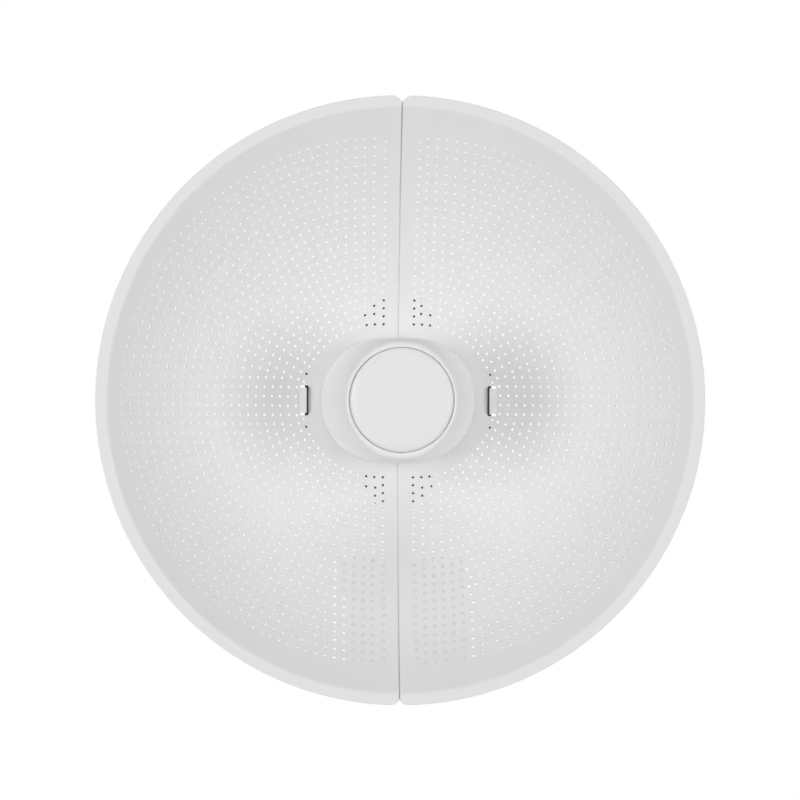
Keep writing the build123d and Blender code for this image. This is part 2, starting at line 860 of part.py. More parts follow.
def mast_jaw():
    """The sliding clamp block behind the mast."""
    jaw = clamp_half(jaw_back(), mast_radius - saddle_cup, jaw_height)
    for x in (-clamp_bolt_x, clamp_bolt_x):
        jaw -= rod(clamp_bolt_radius + clamp_hole_play, (x, 0, 0), (x, far, 0))
    return jaw


def jaw_back():
    """The jaw's outer face, where its nuts press."""
    return mast_radius + jaw_wall


def clamp_bolts():
    """Two long bolts with round heads against the bracket."""
    bolts = []
    nut_end = jaw_back() + washer_thickness + 2 * clamp_bolt_radius * nut_height_share
    head = clamp_bolt_radius * bolt_head_share
    for x in (-clamp_bolt_x, clamp_bolt_x):
        shank = rod(clamp_bolt_radius, (x, bracket_front, 0), (x, nut_end + jaw_open + bolt_tail, 0))
        dome = rod(2 * clamp_bolt_radius, (x, bracket_front - head, 0), (x, bracket_front, 0))
        bolts.append(shank + fillet(dome.edges().sort_by(Axis.Y)[0], head / 2))
    return Compound(bolts)


def clamp_washers():
    """The washers between the jaw and its nuts."""
    washers = []
    for x in (-clamp_bolt_x, clamp_bolt_x):
        seat = jaw_back()
        disc = rod(clamp_bolt_radius + washer_extra, (x, seat, 0), (x, seat + washer_thickness, 0))
        washers.append(disc - rod(clamp_bolt_radius + nut_play, (x, 0, 0), (x, far, 0)))
    return Compound(washers)


def clamp_nuts():
    """The hexagon nuts that pull the jaw up to the mast."""
    nuts = []
    seat = jaw_back() + washer_thickness
    height = 2 * clamp_bolt_radius * nut_height_share
    for x in (-clamp_bolt_x, clamp_bolt_x):
        nut = hexagon_prism(2 * clamp_bolt_radius * nut_width_share, (x, seat, 0), (x, seat + height, 0))
        nuts.append(nut - rod(clamp_bolt_radius + nut_play, (x, 0, 0), (x, far, 0)))
    return Compound(nuts)


def pieces():
    """Every node of the model by name."""
    half = dish_half()
    right_catch = catch()
    return {
        "dish_right": half,
        "dish_left": mirrored(half),
        "back_plate_left": back_plate("left"),
        "back_plate_right": back_plate("right"),
        "feed_shroud": feed_shroud(),
        "feed_cap": feed_cap(),
        "cap_seal": cap_seal(),
        "reflector_plate": reflector_plate(),
        "feed_posts": feed_posts(),
        "feed_board": feed_board(),
        "patch_spacers": patch_spacers(),
        "patch_radiator": patch_radiator(),
        "line_board": line_board(),
        "hub_frame": hub_frame(),
        "frame_screws": frame_screws(),
        "catch_right": right_catch,
        "catch_left": mirrored(right_catch),
        "lid_screws": lid_screws(),
        "housing_gasket": housing_gasket(),
        "rear_housing": rear_housing(),
        "main_board": main_board(),
        "board_screws": board_screws(),
        "shield_can": shield_can(),
        "thermal_pad": thermal_pad(),
        "ethernet_jack": ethernet_jack(),
        "reset_switch": reset_switch(),
        "reset_button": reset_button(),
        "light_guides": light_guides(),
        "vent_plug": vent_plug(),
        "cable_door": cable_door(),
        "cable_grommet": cable_grommet(),
        "knuckle": knuckle(),
        "knuckle_screws": knuckle_screws(),
        "tilt_bracket": tilt_bracket(),
        "pivot_bolt": cross_bolt(pivot_radius, 0, 0),
        "pivot_washers": cross_washers(pivot_radius, 0, 0),
        "pivot_nut": cross_nut(pivot_radius, 0, 0),
        "lock_bolt": cross_bolt(lock_radius, lock_circle, bracket_gap),
        "lock_washers": cross_washers(lock_radius, lock_circle, bracket_gap),
        "lock_nut": cross_nut(lock_radius, lock_circle, bracket_gap),
        "mast_saddle": mast_saddle(),
        "mast_jaw": mast_jaw(),
        "clamp_bolts": clamp_bolts(),
        "clamp_washers": clamp_washers(),
        "clamp_nuts": clamp_nuts(),
    }


os.makedirs("parts", exist_ok=True)
for name, solid in pieces().items():
    export_step(solid, os.path.join("parts", name + ".step"))
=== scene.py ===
# Outdoor wireless bridge: a perforated split dish on a hub, tilted on a bracket that clamps a mast.
import json
import math

import bmesh
import bpy
import numpy as np
from mathutils import Matrix, Vector, geometry

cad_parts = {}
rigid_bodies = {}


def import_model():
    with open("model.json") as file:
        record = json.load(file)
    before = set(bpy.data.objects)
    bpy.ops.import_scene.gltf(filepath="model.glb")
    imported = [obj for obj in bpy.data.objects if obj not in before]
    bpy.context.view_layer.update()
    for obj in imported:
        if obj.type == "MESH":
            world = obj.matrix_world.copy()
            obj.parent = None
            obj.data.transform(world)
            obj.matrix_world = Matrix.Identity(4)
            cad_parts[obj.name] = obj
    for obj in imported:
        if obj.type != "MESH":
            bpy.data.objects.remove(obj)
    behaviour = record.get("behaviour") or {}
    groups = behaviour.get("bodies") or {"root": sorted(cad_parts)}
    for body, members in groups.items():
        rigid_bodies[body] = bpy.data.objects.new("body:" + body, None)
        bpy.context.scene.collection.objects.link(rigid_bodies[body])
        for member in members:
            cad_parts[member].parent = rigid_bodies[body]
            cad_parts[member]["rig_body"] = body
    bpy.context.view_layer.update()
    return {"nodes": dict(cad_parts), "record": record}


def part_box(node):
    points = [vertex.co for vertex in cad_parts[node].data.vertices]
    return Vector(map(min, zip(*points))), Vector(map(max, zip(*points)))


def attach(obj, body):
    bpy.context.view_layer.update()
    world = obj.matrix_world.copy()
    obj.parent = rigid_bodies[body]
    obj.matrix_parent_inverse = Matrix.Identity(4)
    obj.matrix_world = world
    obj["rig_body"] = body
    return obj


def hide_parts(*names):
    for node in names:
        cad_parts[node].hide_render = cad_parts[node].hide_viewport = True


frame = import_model()
nodes = frame["nodes"]
print("frame loaded:", len(nodes), "nodes")


# Shared node groups

# A group with its inputs at their plain values, and one output
def newGroup(name, inputs, outLabel, outKind="NodeSocketFloat"):
    group = bpy.data.node_groups.new(name, "ShaderNodeTree")
    kinds = {4: "NodeSocketColor", 3: "NodeSocketVector"}
    for label, value in inputs.items():
        kind = kinds[len(value)] if isinstance(value, tuple) else "NodeSocketFloat"
        socket = group.interface.new_socket(label, in_out="INPUT", socket_type=kind)
        socket.default_value = value
    group.interface.new_socket(outLabel, in_out="OUTPUT", socket_type=outKind)
    return group, group.nodes.new("NodeGroupInput"), group.nodes.new("NodeGroupOutput")


def objectPlace(tree):
    return tree.nodes.new("ShaderNodeTexCoord").outputs["Object"]


def noiseValue(tree, place, scale, detail=2.0):
    noise = tree.nodes.new("ShaderNodeTexNoise")
    noise.inputs["Detail"].default_value = detail
    tree.links.new(place, noise.inputs["Vector"])
    tree.links.new(scale, noise.inputs["Scale"])
    return noise.outputs["Fac"]


# Arithmetic on two numbers, or on two vectors where the kind says so
def mathNode(tree, operation, first, second, kind="ShaderNodeMath"):
    node = tree.nodes.new(kind)
    node.operation = operation
    for socket, value in zip(node.inputs, (first, second)):
        if isinstance(value, (int, float)):
            socket.default_value = value
        else:
            tree.links.new(value, socket)
    return node.outputs["Value" if operation == "DOT_PRODUCT" else 0]


# Slow changes of tone over a moulding or a painted face
def toneDriftGroup():
    inputs = {"Colour": (0.8, 0.8, 0.8, 1), "Patch Scale": 12.0, "Amount": 0.02}
    group, entry, leave = newGroup("toneDrift", inputs, "Colour", "NodeSocketColor")
    noise = noiseValue(group, objectPlace(group), entry.outputs["Patch Scale"], 3.0)
    swing = mathNode(group, "SUBTRACT", noise, 0.5)
    swing = mathNode(group, "MULTIPLY", swing, entry.outputs["Amount"])
    brightness = mathNode(group, "ADD", swing, 1.0)
    shade = group.nodes.new("ShaderNodeHueSaturation")
    group.links.new(entry.outputs["Colour"], shade.inputs["Color"])
    group.links.new(brightness, shade.inputs["Value"])
    group.links.new(shade.outputs["Color"], leave.inputs["Colour"])
    return group


# Fine texture of a mould or a powder coat, as a height
def fineGrainGroup():
    inputs = {"Grain Scale": 1500.0, "Ripple Scale": 300.0, "Ripple Share": 0.4}
    group, entry, leave = newGroup("fineGrain", inputs, "Height")
    place = objectPlace(group)
    grain = noiseValue(group, place, entry.outputs["Grain Scale"])
    ripple = noiseValue(group, place, entry.outputs["Ripple Scale"])
    ripple = mathNode(group, "MULTIPLY", ripple, entry.outputs["Ripple Share"])
    group.links.new(mathNode(group, "ADD", grain, ripple), leave.inputs["Height"])
    return group


# Where an edge is rubbed, from 0 on flat faces to 1 on sharp corners
def edgeWearGroup():
    inputs = {"Width": 0.001, "Strength": 6.0, "Break Scale": 220.0}
    group, entry, leave = newGroup("edgeWear", inputs, "Mask")
    bevel = group.nodes.new("ShaderNodeBevel")
    bevel.samples = 4
    group.links.new(entry.outputs["Width"], bevel.inputs["Radius"])
    normal = group.nodes.new("ShaderNodeNewGeometry").outputs["Normal"]
    likeness = mathNode(group, "DOT_PRODUCT", bevel.outputs["Normal"], normal, "ShaderNodeVectorMath")
    bend = mathNode(group, "SUBTRACT", 1.0, likeness)
    broken = noiseValue(group, objectPlace(group), entry.outputs["Break Scale"], 4.0)
    mask = mathNode(group, "MULTIPLY", bend, entry.outputs["Strength"])
    mask = mathNode(group, "MULTIPLY", mask, broken)
    clip = group.nodes.new("ShaderNodeClamp")
    group.links.new(mask, clip.inputs["Value"])
    group.links.new(clip.outputs["Result"], leave.inputs["Mask"])
    return group


# Long fine lines of a rolled or brushed sheet, as a height
def brushLinesGroup():
    inputs = {"Line Scale": 900.0, "Stretch": (0.02, 1.0, 1.0)}
    group, entry, leave = newGroup("brushLines", inputs, "Height")
    place = mathNode(group, "MULTIPLY", objectPlace(group), entry.outputs["Stretch"], "ShaderNodeVectorMath")
    lines = noiseValue(group, place, entry.outputs["Line Scale"], 3.0)
    group.links.new(lines, leave.inputs["Height"])
    return group


toneDrift = toneDriftGroup()
fineGrain = fineGrainGroup()
edgeWear = edgeWearGroup()
brushLines = brushLinesGroup()


def placeGroup(tree, group, **values):
    node = tree.nodes.new("ShaderNodeGroup")
    node.node_tree = group
    for label, value in values.items():
        node.inputs[label.replace("_", " ")].default_value = value
    return node


# Materials

# A material, its parts and its drifting colour
def newMaterial(name, look, metallic=0.0):
    material = bpy.data.materials.new(name)
    material.use_nodes = True
    tree = material.node_tree
    shader = tree.nodes["Principled BSDF"]
    shader.inputs["Roughness"].default_value = look["roughness"]
    shader.inputs["Metallic"].default_value = metallic
    tone = placeGroup(
        tree, toneDrift, Colour=look["colour"], Patch_Scale=look["patches"], Amount=look["drift"]
    )
    return material, tree, shader, tone.outputs["Colour"]


def bumpFrom(tree, shader, node, depth):
    bump = tree.nodes.new("ShaderNodeBump")
    bump.inputs["Distance"].default_value = depth
    bump.inputs["Strength"].default_value = 1.0
    tree.links.new(node.outputs["Height"], bump.inputs["Height"])
    tree.links.new(bump.outputs["Normal"], shader.inputs["Normal"])


def grainNode(tree, look):
    return placeGroup(
        tree, fineGrain, Grain_Scale=look["grain"], Ripple_Scale=look["ripple"], Ripple_Share=look["share"]
    )


# What a look has where it says nothing else; patches, breaks, grain and ripple are scales of noise
moulding = {
    "roughness": 0.5, "specular": 0.5, "patches": 30.0, "drift": 0.02, "grain": 2600.0, "ripple": 500.0,
    "share": 0.8, "depth": 0.00001,
}
metal = {
    "roughness": 0.3, "patches": 60.0, "drift": 0.08, "wearWidth": 0.0004, "wear": 4.0, "breaks": 700.0,
    "grain": 1500.0, "share": 0.5, "depth": 0.00001,
}


# A moulding, paint or rubber: a colour that drifts a little under a fine grain
def mouldedFinish(name, look):
    look = moulding | look
    material, tree, shader, tone = newMaterial(name, look)
    tree.links.new(tone, shader.inputs["Base Color"])
    bumpFrom(tree, shader, grainNode(tree, look), look["depth"])
    shader.inputs["Specular IOR Level"].default_value = look["specular"]
    return material


# A metal with rubbed edges, brushed along one axis where its look has a stretch, and grained elsewhere
def metalFinish(name, look):
    look = metal | look
    material, tree, shader, tone = newMaterial(name, look, 1.0)
    wear = placeGroup(
        tree, edgeWear, Width=look["wearWidth"], Strength=look["wear"], Break_Scale=look["breaks"]
    )
    blend = tree.nodes.new("ShaderNodeMix")
    blend.data_type = "RGBA"
    blend.inputs["B"].default_value = look["worn"]
    tree.links.new(wear.outputs["Mask"], blend.inputs["Factor"])
    tree.links.new(tone, blend.inputs["A"])
    tree.links.new(blend.outputs["Result"], shader.inputs["Base Color"])
    if "stretch" in look:
        relief = placeGroup(tree, brushLines, Line_Scale=look["grain"], Stretch=look["stretch"])
    else:
        relief = grainNode(tree, look)
    bumpFrom(tree, shader, relief, look["depth"])
    return material


def grey(value, blue=0.0):
    return (value, value + blue / 2, value + blue, 1.0)


def dishPaint():
    look = {"colour": grey(0.82, 0.004), "patches": 9.0, "grain": 1400.0, "ripple": 260.0, "depth": 0.00002}
    return mouldedFinish("dishPaint", look)


def plateFace():
    look = {"colour": grey(0.92), "drift": 0.03, "grain": 2500.0, "share": 0.3}
    return mouldedFinish("plateFace", look)


# Painted light: the shroud is coloured lighter than the cap so that its steep walls, which catch less light,
# show as bright as the front faces
def shroudPlastic():
    look = {
        "colour": grey(0.925, 0.004), "roughness": 0.48, "patches": 14.0, "drift": 0.015, "grain": 2200.0,
        "ripple": 400.0, "share": 0.5, "depth": 0.000012,
    }
    return mouldedFinish("shroudPlastic", look)


def capPlastic():
    look = {
        "colour": grey(0.845, 0.002), "roughness": 0.42, "patches": 14.0, "drift": 0.012, "grain": 2400.0,
        "ripple": 420.0, "share": 0.5,
    }
    return mouldedFinish("capPlastic", look)


def framePlastic():
    look = {
        "colour": grey(0.018, 0.001), "roughness": 0.55, "patches": 20.0, "drift": 0.15, "ripple": 700.0,
        "share": 0.4, "depth": 0.00003,
    }
    return mouldedFinish("framePlastic", look)


def housingPlastic():
    look = {
        "colour": grey(0.79), "patches": 16.0, "grain": 1800.0, "ripple": 600.0, "share": 0.6,
        "depth": 0.00004,
    }
    return mouldedFinish("housingPlastic", look)


def catchPlastic():
    look = {
        "colour": grey(0.80), "roughness": 0.45, "drift": 0.015, "grain": 2400.0, "share": 0.4,
        "depth": 0.000012,
    }
    return mouldedFinish("catchPlastic", look)


def buttonPlastic():
    look = {
        "colour": grey(0.012), "roughness": 0.35, "patches": 60.0, "drift": 0.1, "grain": 3000.0,
        "ripple": 800.0, "share": 0.3,
    }
    return mouldedFinish("buttonPlastic", look)


def sealRubber():
    look = {
        "colour": grey(0.016), "roughness": 0.75, "specular": 0.3, "patches": 50.0, "drift": 0.3,
        "ripple": 900.0, "depth": 0.00005,
    }
    return mouldedFinish("sealRubber", look)


def padRubber():
    look = {
        "colour": (0.17, 0.21, 0.32, 1.0), "roughness": 0.8, "patches": 40.0, "drift": 0.1, "grain": 1500.0,
        "ripple": 300.0, "depth": 0.00008,
    }
    return mouldedFinish("padRubber", look)


def boardLaminate():
    look = {
        "colour": (0.008, 0.055, 0.02, 1.0), "roughness": 0.3, "patches": 90.0, "drift": 0.5, "grain": 1200.0,
        "ripple": 1800.0,
    }
    return mouldedFinish("boardLaminate", look)


def postNylon():
    look = {
        "colour": (0.78, 0.76, 0.69, 1.0), "patches": 80.0, "drift": 0.05, "ripple": 600.0, "share": 0.4,
        "depth": 0.00002,
    }
    return mouldedFinish("postNylon", look)


def guideClear():
    look = {
        "colour": (0.86, 0.90, 0.92, 1.0), "roughness": 0.12, "patches": 200.0, "drift": 0.04, "grain": 500.0,
        "ripple": 300.0, "share": 0.4, "clear": 0.6, "ior": 1.49,
    }
    material = mouldedFinish("guideClear", look)
    shader = material.node_tree.nodes["Principled BSDF"]
    shader.inputs["Transmission Weight"].default_value = look["clear"]
    shader.inputs["IOR"].default_value = look["ior"]
    return material


def jackMetal():
    look = {
        "colour": grey(0.62), "worn": grey(0.72), "roughness": 0.25, "grain": 1600.0,
        "stretch": (1.0, 1.0, 0.05),
    }
    return metalFinish("jackMetal", look)


def shieldMetal():
    look = {
        "colour": (0.56, 0.56, 0.54, 1.0), "worn": grey(0.66), "roughness": 0.35, "patches": 50.0,
        "drift": 0.12, "wearWidth": 0.0005, "breaks": 600.0, "grain": 1400.0, "stretch": (1.0, 1.0, 0.04),
        "depth": 0.000012,
    }
    return metalFinish("shieldMetal", look)


def reflectorMetal():
    look = {
        "colour": (0.62, 0.63, 0.65, 1.0), "worn": grey(0.75), "patches": 40.0, "drift": 0.06,
        "wearWidth": 0.0005, "wear": 3.0, "breaks": 500.0, "stretch": (0.03, 1.0, 1.0), "depth": 0.000012,
    }
    return metalFinish("reflectorMetal", look)


def patchMetal():
    look = {
        "colour": (0.62, 0.42, 0.14, 1.0), "worn": (0.75, 0.56, 0.25, 1.0), "roughness": 0.28, "drift": 0.15,
        "grain": 1700.0, "stretch": (0.04, 1.0, 1.0),
    }
    return metalFinish("patchMetal", look)


def castMetal():
    look = {
        "colour": (0.50, 0.51, 0.52, 1.0), "worn": grey(0.68), "roughness": 0.52, "patches": 35.0,
        "drift": 0.12, "wearWidth": 0.0009, "wear": 3.0, "breaks": 260.0, "grain": 1300.0, "ripple": 420.0,
        "depth": 0.00014,
    }
    return metalFinish("castMetal", look)


def bracketSteel():
    look = {
        "colour": (0.52, 0.53, 0.55, 1.0), "worn": grey(0.70), "roughness": 0.38, "patches": 28.0,
        "drift": 0.16, "wearWidth": 0.0008, "wear": 3.0, "breaks": 320.0, "grain": 800.0,
        "stretch": (0.03, 1.0, 1.0), "depth": 0.00002,
    }
    return metalFinish("bracketSteel", look)


def boltSteel():
    look = {
        "colour": grey(0.58, 0.008), "worn": grey(0.74), "roughness": 0.26, "patches": 80.0, "breaks": 500.0,
        "ripple": 700.0,
    }
    return metalFinish("boltSteel", look)


def screwSteel():
    look = {
        "colour": grey(0.50, 0.006), "worn": grey(0.68), "patches": 120.0, "wearWidth": 0.0003,
        "breaks": 800.0, "grain": 1800.0, "ripple": 900.0,
    }
    return metalFinish("screwSteel", look)


# A camelCase name in lower case with underscores, which is how nodes and slots are named
def framed(name):
    return "".join("_" + letter.lower() if letter.isupper() else letter for letter in name).lstrip("_")


makers = (
    dishPaint, plateFace, shroudPlastic, capPlastic, framePlastic, housingPlastic, catchPlastic, buttonPlastic,
    sealRubber, padRubber, boardLaminate, postNylon, guideClear, jackMetal, shieldMetal, reflectorMetal,
    patchMetal, castMetal, bracketSteel, boltSteel, screwSteel,
)
finishes = {framed(make.__name__): make() for make in makers}
slotOf = {part["node"]: part["material_slot"] for part in frame["record"]["subparts"]}
for name, node in nodes.items():
    node.data.materials.clear()
    node.data.materials.append(finishes[slotOf[name]])
print("materials made:", len(finishes))


# Pieces are made from here on, and each stands for the CAD node of its name

def newObject(name, data):
    made = bpy.data.objects.new(name, data)
    bpy.context.scene.collection.objects.link(made)
    return made


def addPiece(name, mesh):
    nodeName = framed(name)
    piece = newObject(name, mesh)
    mesh.materials.clear()
    mesh.materials.append(finishes[slotOf[nodeName]])
    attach(piece, nodes[nodeName]["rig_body"])
    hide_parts(nodeName)
    return piece


# Faces between two rings of as many points
def quadStrip(lower, upper):
    pairs = zip(lower, lower[1:] + lower[:1], upper[1:] + upper[:1], upper)
    return [list(quad) for quad in pairs]


# Faces between rings, one after another; a ring of one point is a tip
def ringFaces(rings, closed):
    faces = []
    for lower, upper in list(zip(rings, rings[1:])) + ([(rings[-1], rings[0])] if closed else []):
        if len(lower) == 1:
            faces += [[lower[0], b, a] for a, b in zip(upper, upper[1:] + upper[:1])]
        elif len(upper) == 1:
            faces += [[a, b, upper[0]] for a, b in zip(lower, lower[1:] + lower[:1])]
        else:
            faces += quadStrip(lower, upper)
    return faces


# Back from bmesh as a smooth mesh, with edges sharper than the angle left sharp
def smoothMesh(mesh, work, angle):
    bmesh.ops.recalc_face_normals(work, faces=work.faces)
    work.to_mesh(mesh)
    work.free()
    mesh.shade_smooth()
    mesh.set_sharp_from_angle(angle=math.radians(angle))
    return mesh


def closedMesh(name, points, faces, angle):
    mesh = bpy.data.meshes.new(name)
    mesh.from_pydata(points, [], faces)
    work = bmesh.new()
    work.from_mesh(mesh)
    return smoothMesh(mesh, work, angle)


# Dish halves

dish = {
    "focus": 0.097, "lipWidth": 0.0070, "lipReturn": 0.004, "creaseHalf": 0.0011, "sheet": 0.0008,
    "edgeRadius": 0.0005, "edgeSteps": 3, "rimSteps": 240, "sharpAngle": 40,
    "cornerWidth": (0.0066, 0.0046), "notch": (0.0036, 0.0029), "cornerSteps": 8,       # at the top and below
    "seamGap": 0.0006, "seamFlange": 0.0088, "flangeFrom": 0.0729, "flangeTo": 0.171, "flangeRamp": 0.006,
    "tongue": 0.00027, "tongueDepth": 0.0006, "tongueDrop": 0.0017, "tongueShape": 4,
    "tongueEdge": 0.00004, "tongueRoom": 0.00012,
    "openingLength": 0.092, "openingHeight": 0.070, "openingSteps": 40, "openingCorner": (0.004, 0.0075),
    "seamRows": 36, "innerRows": 12, "flangeClear": 0.0005, "endClear": 0.001, "openingClear": 0.003,
}
window = {
    "inner": 0.0584, "outer": 0.0635, "half": 0.0097, "steps": 24, "ramp": 0.0052, "rampDepth": 0.0032,
    "rampCurve": 0.97, "fade": 0.002, "clearSide": 0.0018, "clearEnd": 0.0016,
}
punching = {
    "radius": 0.0008, "sides": 14, "centreX": 0.00965, "rings": 22, "sectors": 3, "firstRing": 0.0515,
    "ringStep": 0.005126, "seamClear": 0.00545, "clearGrowth": 0.00012, "clearLimit": 0.0071,
    "spacing": 0.00603, "sectorCount": 0.0060, "turn": 0.00075, "columnDrop": 0.00185, "innerShift": 0.0033,
    "innerRadius": 0.0496, "innerCount": 13, "innerFrom": 87.3, "innerStep": 6.1,
    "bow": {1: 0.00245, -1: 0.0015}, "bowReach": 0.17, "bowPower": 1.6,
}
# Extra points of the triangles: how far apart they are, and how far from everything else
filling = {
    "step": 0.005, "rowStep": 0.866, "fromLip": 0.003, "fromEdge": 0.0022, "fromHole": 0.0024,
    "fromSeam": 0.0025, "openingX": 0.011, "fromOpening": 0.002, "fromRamp": 0.0045, "fromWindow": 0.0015,
    "creaseSteps": 280, "creaseClear": 0.010, "rampRows": 24, "rampClear": 0.0006, "rampSteps": 8,
    "rampStart": 1.05,
}
# Holes that a back plate covers are wider, with a peg of the plate in each, and so are those beside a plate
peg = {
    "radius": 0.00085, "hole": 0.0011, "edge": 0.00008, "recess": 0.00002, "root": 0.0013, "margin": 0.0008,
    "openHole": 0.00104, "openFrom": 0.03, "openReach": {-1: 0.0425, 1: 0.0495}, "openTop": -0.104,
}
# The plates reach further down than their CAD nodes, and the left one is narrower below a step
plate = {
    "reach": 0.0045, "foot": 0.005, "stepTop": -0.1225, "stepFoot": -0.1255, "stepX": 0.0315, "stepFrom": 0.026,
}
hair = 1e-5                                                     # a length too small to matter

dishLow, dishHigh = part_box("dish_right")
rimRadius = dishHigh.x
lipRadius = rimRadius - dish["lipWidth"]
lipY = dishLow.y


# How far the bowl has risen at a squared distance from the axis
def bowlRise(squared):
    return squared / (4 * dish["focus"])


vertexY = lipY + bowlRise(lipRadius**2)


# The front face along Y and its slope, at distances from the axis
def dishFront(x, z):
    rho = np.hypot(x, z)
    half = dish["creaseHalf"]
    slopeAtLip = lipRadius / (2 * dish["focus"])
    bowl = vertexY - bowlRise(rho**2)
    crease = lipY + (lipRadius + half - rho)**2 * slopeAtLip / (4 * half)
    y = np.where(rho < lipRadius - half, bowl, np.where(rho < lipRadius + half, crease, lipY))
    slope = np.where(
        rho < lipRadius - half,
        rho / (2 * dish["focus"]),
        np.clip((lipRadius + half - rho) * slopeAtLip / (2 * half), 0, None),
    )
    return y, slope, rho


# The sheet is drawn in behind the inner edge of each window, along part of an arc
def windowRamp(x, z):
    start = window["inner"] - window["ramp"]
    curve = window["rampCurve"]
    run = np.clip((np.abs(x) - start) / window["ramp"], 0, 1)
    fade = np.clip((window["half"] - np.abs(z)) / window["fade"], 0, 1)
    depth = window["rampDepth"] * (1 - np.sqrt(1 - (curve * run)**2)) / (1 - math.sqrt(1 - curve**2))
    depth = depth * fade * fade * (3 - 2 * fade)
    return np.where(np.abs(x) < window["inner"] + hair, depth, 0)


# Points of the front face and its normals there
def sheetPoints(x, z):
    y, slope, rho = dishFront(x, z)
    ramp = windowRamp(x, z)
    rampX = np.where(ramp > 0, (ramp - windowRamp(x - hair, z)) / hair, 0)
    rampZ = np.where(ramp > 0, (windowRamp(x, z + hair) - windowRamp(x, z - hair)) / (2 * hair), 0)
    rho = np.maximum(rho, hair)
    normal = np.stack([-slope * x / rho + rampX, -np.ones_like(x), -slope * z / rho + rampZ], axis=1)
    normal /= np.linalg.norm(normal, axis=1)[:, None]
    return np.stack([x, y + ramp, z], axis=1), normal


# Distances along a ring of holes from the middle of the half: sectors with holes about their middles, and one
# hole on the border between two where there is room; the first and the last sector are cut in half
def ringPlaces(number, rho):
    clear = min(punching["seamClear"] + number * punching["clearGrowth"], punching["clearLimit"])
    spacing, sectors = punching["spacing"], punching["sectors"]
    sector = (math.pi / 2 * rho - clear + spacing / 2) / sectors
    count = round(sector / punching["sectorCount"])
    places = []
    for middle in range(-sectors, sectors + 1):
        for j in range(count // 2):
            places += [middle * sector + side * (j + 0.5) * spacing for side in (-1, 1)]
    if count % 2:
        places += [(middle + 0.5) * sector for middle in range(-sectors, sectors)]
    return [place for place in places if abs(place) < sectors * sector]


# Centres of the punched holes of a half, as if it were the right one, in X and Z
def holeCentres(half):
    centres = []
    for number in range(punching["rings"] + 1):
        rho = punching["firstRing"] + number * punching["ringStep"]
        if number:
            for place in ringPlaces(number, rho):
                angle = (place + half * punching["turn"] * (punching["firstRing"] / rho)**2) / rho
                centres.append((punching["centreX"] + rho * math.cos(angle), rho * math.sin(angle)))
        for side in (-1, 1):                                    # the first column, bent on the right half
            z = rho - punching["columnDrop"]
            bend = (z / punching["bowReach"])**punching["bowPower"]
            bow = punching["bow"][side] * bend if half > 0 else 0
            centres.append((punching["centreX"] + bow, side * z))
    for j in range(punching["innerCount"]):                     # the ring nearest to the feed
        angle = math.radians(punching["innerFrom"] - j * punching["innerStep"])
        x = punching["centreX"] + punching["innerShift"] + punching["innerRadius"] * math.cos(angle)
        for side in (-1, 1):
            centres.append((x, side * punching["innerRadius"] * math.sin(angle)))
    height, clear = window["half"] + window["clearEnd"], window["outer"] + window["clearSide"]
    return [(x, z) for x, z in centres if abs(z) > height or x > clear]


def plateBox(side):
    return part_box("back_plate_right" if side > 0 else "back_plate_left")


# Which of the holes have a back plate behind them
def coveredHoles(side, centres):
    low, high = plateBox(side)
    near, far = sorted((abs(low.x), abs(high.x)))
    edge = peg["margin"]
    foot = low.z - plate["reach"]
    flags = []
    for x, z in centres:
        stepped = side < 0 and z < plate["stepTop"]
        limit = plate["stepX"] if stepped else far
        flags.append(near + edge < x < limit - edge and foot + edge < z < high.z - edge)
    return flags


def holeRadii(side, centres):
    foot = plateBox(side)[0].z - plate["reach"]
    radii = []
    for (x, z), covered in zip(centres, coveredHoles(side, centres)):
        beside = peg["openFrom"] < x < peg["openReach"][side] and foot < z < peg["openTop"]
        radii.append(peg["hole"] if covered else peg["openHole"] if beside else punching["radius"])
    return radii


